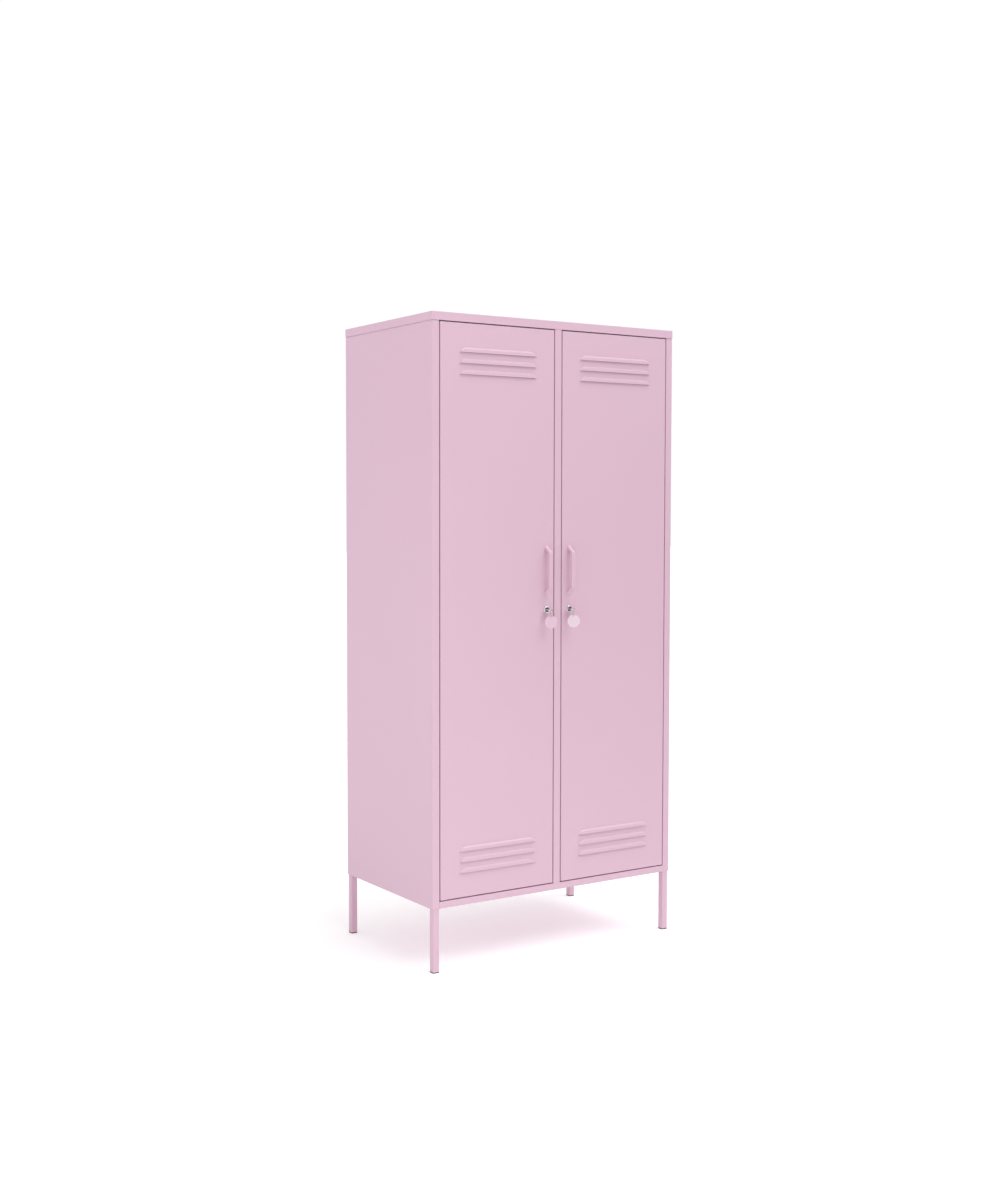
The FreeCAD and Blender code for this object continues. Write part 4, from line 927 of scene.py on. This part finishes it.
def pull_handle(name):
    """A cast bow handle: flat grip, slanted ends that widen into the feet."""
    low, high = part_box(f"{name}_handle")
    x = (low.x + high.x) / 2
    half = (high.x - low.x) / 2
    out = FRONT - low.y
    run, foot, thick = 19 * MM, 15 * MM, 6 * MM
    outer = bent([(0, low.z), (-out, low.z + run), (-out, high.z - run), (0, high.z)], 11 * MM, 10)
    inner_out = out - thick
    inner = bent([(0, low.z + foot), (-inner_out, low.z + foot + run / 2),
                  (-inner_out, high.z - foot - run / 2), (0, high.z - foot)], 6 * MM, 10)
    count, squareness = 28, 0.62
    skin = Skin()
    rows = []
    for (y0, z0), (y1, z1) in zip(outer, inner):
        middle = Vector((0, (y0 + y1) / 2, (z0 + z1) / 2))
        reach = Vector((0, (y0 - y1) / 2, (z0 - z1) / 2))
        ring = []
        for n in range(count):
            a = 2 * math.pi * n / count
            c, s = math.cos(a), math.sin(a)
            across = math.copysign(abs(c) ** squareness, c) * half
            along = math.copysign(abs(s) ** squareness, s)
            spot = middle + reach * along
            ring.append((x + across, FRONT + spot.y, spot.z))
        rows.append(ring)
    skin.loft(rows)
    skin.face(rows[0])
    skin.face(rows[-1])
    piece(f"{name}_pull", skin, f"{name}_door", [f"{name}_handle"], PINK)
    low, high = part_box(f"{name}_handle_screws")
    fixing = Skin(from_origin(along_y))
    screw(fixing, 0, 0, 4 * MM, 2.5 * MM, 2 * MM, high.y - low.y - 2.5 * MM)
    start = (x, high.y - 2.5 * MM, low.z + 4 * MM)
    made = rows_of(fixing, ZINC, start, 1, (0, 0, 0), 2, (0, 0, HANDLE_SCREWS))
    piece(f"{name}_pull_screws", made, f"{name}_door", [f"{name}_handle_screws"], ZINC)


# ---------------------------------------------------------------- locks and keys


def lock_housing(name):
    """The turned barrel with its dished head, and the nut that holds it in the door."""
    x, z = lock_axis(name)
    out = (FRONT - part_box(f"{name}_lock_barrel")[0].y) / MM
    profile = [(6.02, 19), (6.02, -2.6), (6.1, -2.85), (6.35, -2.95), (7.6, -3), (7.78, -3.12),
               (7.9, -3.6), (8.08, 0.1 - out), (8.3, -out), (8.7, 0.1 - out), (9.5, -3.2),
               (9.86, -2.4), (10, -1.2), (10, 0), (8, 0), (8, 0.6), (8, 18.6), (7.6, 19.2),
               (6.02, 19.2), (6.02, 19)]
    skin = Skin(along_y)
    skin.lathe(x, z, [(r * MM, w * MM) for r, w in profile], 48)
    piece(f"{name}_lock_housing", skin, f"{name}_door", [f"{name}_lock_barrel"], CHROME)

    low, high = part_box(f"{name}_lock_nut")
    corner = (high.x - low.x) / 2
    nut = Skin(along_y)
    nut.plate(circle(x, z, corner, 6), [circle(x, z, BARREL_HOLE, 36)], low.y - FRONT,
              high.y - FRONT, 0.45 * MM)
    piece(f"{name}_nut", nut, f"{name}_door", [f"{name}_lock_nut"], ZINC)


def lock_core(name):
    """The slotted plug; a square at its inner end carries the cam."""
    x, z = lock_axis(name)
    low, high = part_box(f"{name}_lock_core")
    slot = rounded(x - 3.6 * MM, x + 3.6 * MM, z - 1.1 * MM, z + 1.1 * MM, 0.3 * MM, 3)
    slot_end, shoulder = 13 * MM, 19.1 * MM
    square = 3.45 * MM
    core = Skin(along_y)
    core.plate(circle(x, z, 5.93 * MM, 44), [slot], low.y - FRONT, slot_end, 0.3 * MM)
    core.plate(circle(x, z, 5.9 * MM, 44), [], slot_end - 0.01 * MM, shoulder, 0.2 * MM)
    core.plate(rounded(x - square, x + square, z - square, z + square, 0.5 * MM, 3), [],
               shoulder - 0.05 * MM, high.y - FRONT, 0.15 * MM)
    piece(f"{name}_core", core, f"{name}_lock", [f"{name}_lock_core"], CHROME)


def lock_cam(name):
    """The tongue that goes behind the mullion, and the screw that holds it."""
    x, z = lock_axis(name)
    low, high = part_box(f"{name}_lock_cam")
    hole = 3.55 * MM
    cam = Skin(along_y)
    cam.plate(rounded(low.x, high.x, low.z, high.z, 4.6 * MM),
              [rounded(x - hole, x + hole, z - hole, z + hole, 0.4 * MM, 3)], low.y - FRONT,
              high.y - FRONT, 0.3 * MM)
    piece(f"{name}_cam", cam, f"{name}_lock", [f"{name}_lock_cam"], CAM)

    low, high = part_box(f"{name}_cam_screw")
    head = 2.6 * MM
    fixing = Skin(along_y)
    screw(fixing, x, z, 4.5 * MM, head, 2.5 * MM, high.y - low.y - head, high.y - FRONT - head)
    piece(f"{name}_cam_fixing", fixing, f"{name}_lock", [f"{name}_cam_screw"], ZINC)


def key(name):
    """A flat key with a cut edge; gives the middle of the hole in its bow."""
    low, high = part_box(f"{name}_key")
    x = (low.x + high.x) / 2
    tip, shoulder = high.y, FRONT - 7 * MM
    half_bow, half = (high.x - low.x) / 2, 3.5 * MM
    hole_y = low.y + 5 * MM
    bow = bent([(half, shoulder), (half_bow, shoulder), (half_bow, low.y), (-half_bow, low.y),
                (-half_bow, shoulder), (-half, shoulder)],
               [4 * MM, 8 * MM, 8 * MM, 4 * MM], 8)
    cuts = []
    first, cut_pitch = FRONT - 1 * MM, 2.7 * MM
    for n, depth in enumerate((1.1, 0.5, 1.5, 0.8, 1.2)):
        y = first + n * cut_pitch
        cuts += [(-half, y - 0.75 * MM), (-half + depth * MM, y - 0.2 * MM),
                 (-half + depth * MM, y + 0.2 * MM), (-half, y + 0.75 * MM)]
    blade = [(-half, tip - 2.2 * MM), (-1 * MM, tip), (0.6 * MM, tip), (half, tip - 1.6 * MM)]
    outline = [(x + u, v) for u, v in bow + cuts + blade][::-1]
    skin = Skin()
    skin.plate(outline, [circle(x, hole_y, 3.5 * MM, 28)], low.z, high.z, 0.25 * MM)
    piece(f"{name}_flat_key", skin, f"{name}_key", [f"{name}_key"], NICKEL)
    return Vector((x, hole_y, (low.z + high.z) / 2))


TAG_TURN = math.radians(27)
RING_RADIUS, RING_LEAN = 10 * MM, math.radians(50)
RING_OUT, RING_DOWN = RING_RADIUS * math.cos(RING_LEAN), RING_RADIUS * math.sin(RING_LEAN)


def hung_from(hole):
    """Directions of the set that hangs on the key: u sideways, v up, w towards the door."""
    c, s = math.cos(TAG_TURN), math.sin(TAG_TURN)
    return lambda u, v, w: (hole.x + u * c + w * s, hole.y - u * s + w * c, hole.z + v)


def key_ring(name, hole):
    """A split ring: two turns of wire side by side with a crossing and two ends."""
    skin = Skin(hung_from(hole))
    wire, pitch = 0.4 * MM, 0.78 * MM
    steps, sides = 120, 10
    first_end, wound, crossing = 2.4, 4 * math.pi * 0.995, 14.4
    rows = []
    for n in range(steps + 1):
        a = first_end + wound * n / steps
        offset = pitch / 2 * math.tanh((n / steps - 0.5) * crossing)
        ring = []
        for k in range(sides):
            b = 2 * math.pi * k / sides
            r = RING_RADIUS + wire * math.cos(b) * 1.35
            ring.append((offset + wire * 0.92 * math.sin(b), r * math.sin(a) - RING_DOWN,
                         r * math.cos(a) - RING_OUT))
        rows.append(ring)
    skin.loft(rows)
    skin.face(rows[0])
    skin.face(rows[-1])
    piece(f"{name}_split_ring", skin, f"{name}_ring", [f"{name}_key_ring"], NICKEL)


def tag(name, hole):
    """A blank disc with a lobed edge; each lobe's arc ends just short of where lobes meet."""
    lobes, lobe, centre = 10, 5.65 * MM, 13.6 * MM
    arc_points, arc_share = 10, 0.985
    thick, eye, eye_out = 2.4 * MM, 2.2 * MM, 15.5 * MM
    half = math.pi / lobes
    meet = centre * math.cos(half) + math.sqrt(lobe ** 2 - (centre * math.sin(half)) ** 2)
    reach = math.atan2(meet * math.sin(half), meet * math.cos(half) - centre)
    down = -RING_DOWN - RING_RADIUS - (eye - 1 * MM) - eye_out
    outline = []
    for n in range(lobes):
        aim = math.pi / 2 + 2 * half * n
        for k in range(arc_points):
            a = aim + reach * (2 * k / (arc_points - 1) - 1) * arc_share
            outline.append((centre * math.cos(aim) + lobe * math.cos(a),
                            down + centre * math.sin(aim) + lobe * math.sin(a)))
    skin = Skin(hung_from(hole))
    skin.plate(outline, [circle(0, down + eye_out, eye, 28)], -RING_OUT - thick / 2,
               -RING_OUT + thick / 2, 0.5 * MM, 4)
    piece(f"{name}_lobed_tag", skin, f"{name}_tag", [f"{name}_key_tag"], TAGS[name])


# ---------------------------------------------------------------- build


lid()
side_panels()
back_wall()
base()
mullion()
partition()
header()
bumpers()
rivets()
for end in ("front", "rear"):
    for name, side in SIDES.items():
        leg(end, name, side)
leg_screws()
glides()
shelf("hat_shelf", "left_hat_shelf", "cabinet")
for level in (1, 2, 3):
    shelf(f"shelf_{level}", f"right_shelf_{level}", f"right_shelf_{level}")
clips("left_shelf_clips")
clips("right_shelf_clips")
rail()
bushes()
for name in SIDES:
    door(name)
    stiffener(name)
    pins(name)
    pull_handle(name)
    lock_housing(name)
    lock_core(name)
    lock_cam(name)
    hole = key(name)
    key_ring(name, hole)
    tag(name, hole)


# ---------------------------------------------------------------- studio


def white_surround():
    """An even white world, a little brighter where it is seen directly."""
    world = bpy.data.worlds.new("white studio")
    world.use_nodes = True
    sky = world.node_tree
    path = sky.nodes.new("ShaderNodeLightPath")
    seen = Term(sky, path.outputs["Is Camera Ray"])
    feed(sky, sky.nodes["Background"].inputs["Color"], (1, 1, 1, 1))
    feed(sky, sky.nodes["Background"].inputs["Strength"], 0.675 + seen * 0.335)
    bpy.context.scene.world = world
    bpy.context.scene.view_settings.view_transform = "Standard"


def paper_floor():
    size = 40
    floor = linked("floor", bpy.data.meshes.new("floor"))
    floor.data.from_pydata([(-size, -size, 0), (size, -size, 0), (size, size, 0), (-size, size, 0)],
                           [], [(0, 1, 2, 3)])
    paper = Finish("studio floor", (0.9, 0.9, 0.9), 0.9, **{"Emission Strength": 1.0})
    faint, clear = (0.17, 0.17, 0.17, 1), (0.33, 0.33, 0.33, 1)
    paper.set(**{"Roughness": 0.85 + paper.noise(3) * 0.1,
                 "Emission Color": paper.mixed(paper.node("ShaderNodeLightPath", "Is Camera Ray"),
                                               faint, clear)})
    floor.data.materials.append(paper.material)
    return floor


def black_flag():
    """A dark cloth in front, out of view, for the chrome to mirror."""
    flag = linked("black flag", bpy.data.meshes.new("black flag"))
    aside, ahead = Vector((0.82, 0.57, 0)) * 0.75, Vector((0.57, -0.82, 0)) * 2.4
    foot, top = 0.35, 1.45
    flag.data.from_pydata([ahead + aside * a + Vector((0, 0, z)) for a, z in
                           ((-1, foot), (1, foot), (1, top), (-1, top))], [], [(0, 1, 2, 3)])
    flag.data.materials.append(Finish("black cloth", (0.01, 0.01, 0.01), 0.9).material)
    flag.visible_camera = False
    return flag


def lamps():
    """A broad light from above and a soft one on the left side."""
    sun = bpy.data.lights.new("overhead", "SUN")
    sun.energy, sun.angle = 1.6, math.radians(50)
    lamp = linked("overhead", sun)
    lamp.rotation_euler = Vector((-0.30, 0.38, -0.86)).to_track_quat("-Z", "Y").to_euler()
    panel = bpy.data.lights.new("side panel", "AREA")
    panel.size, panel.energy = 2.4, 12
    lamp = linked("side panel", panel)
    lamp.location = (-3.6, -1.2, 1.5)
    lamp.rotation_euler = Vector((1, 0.33, -0.1)).to_track_quat("-Z", "Y").to_euler()


def camera():
    lens = bpy.data.cameras.new("camera")
    lens.lens = 44.65
    lens.sensor_width = 36
    lens.shift_x, lens.shift_y = 0.0511, -0.0102
    eye = linked("camera", lens)
    eye.location = (-2.5811, -3.6913, 1.27935)
    eye.rotation_euler = tuple(math.radians(a) for a in (87.14, 0.03, -32.12))
    bpy.context.scene.camera = eye


white_surround()
paper_floor()
black_flag()
lamps()
camera()
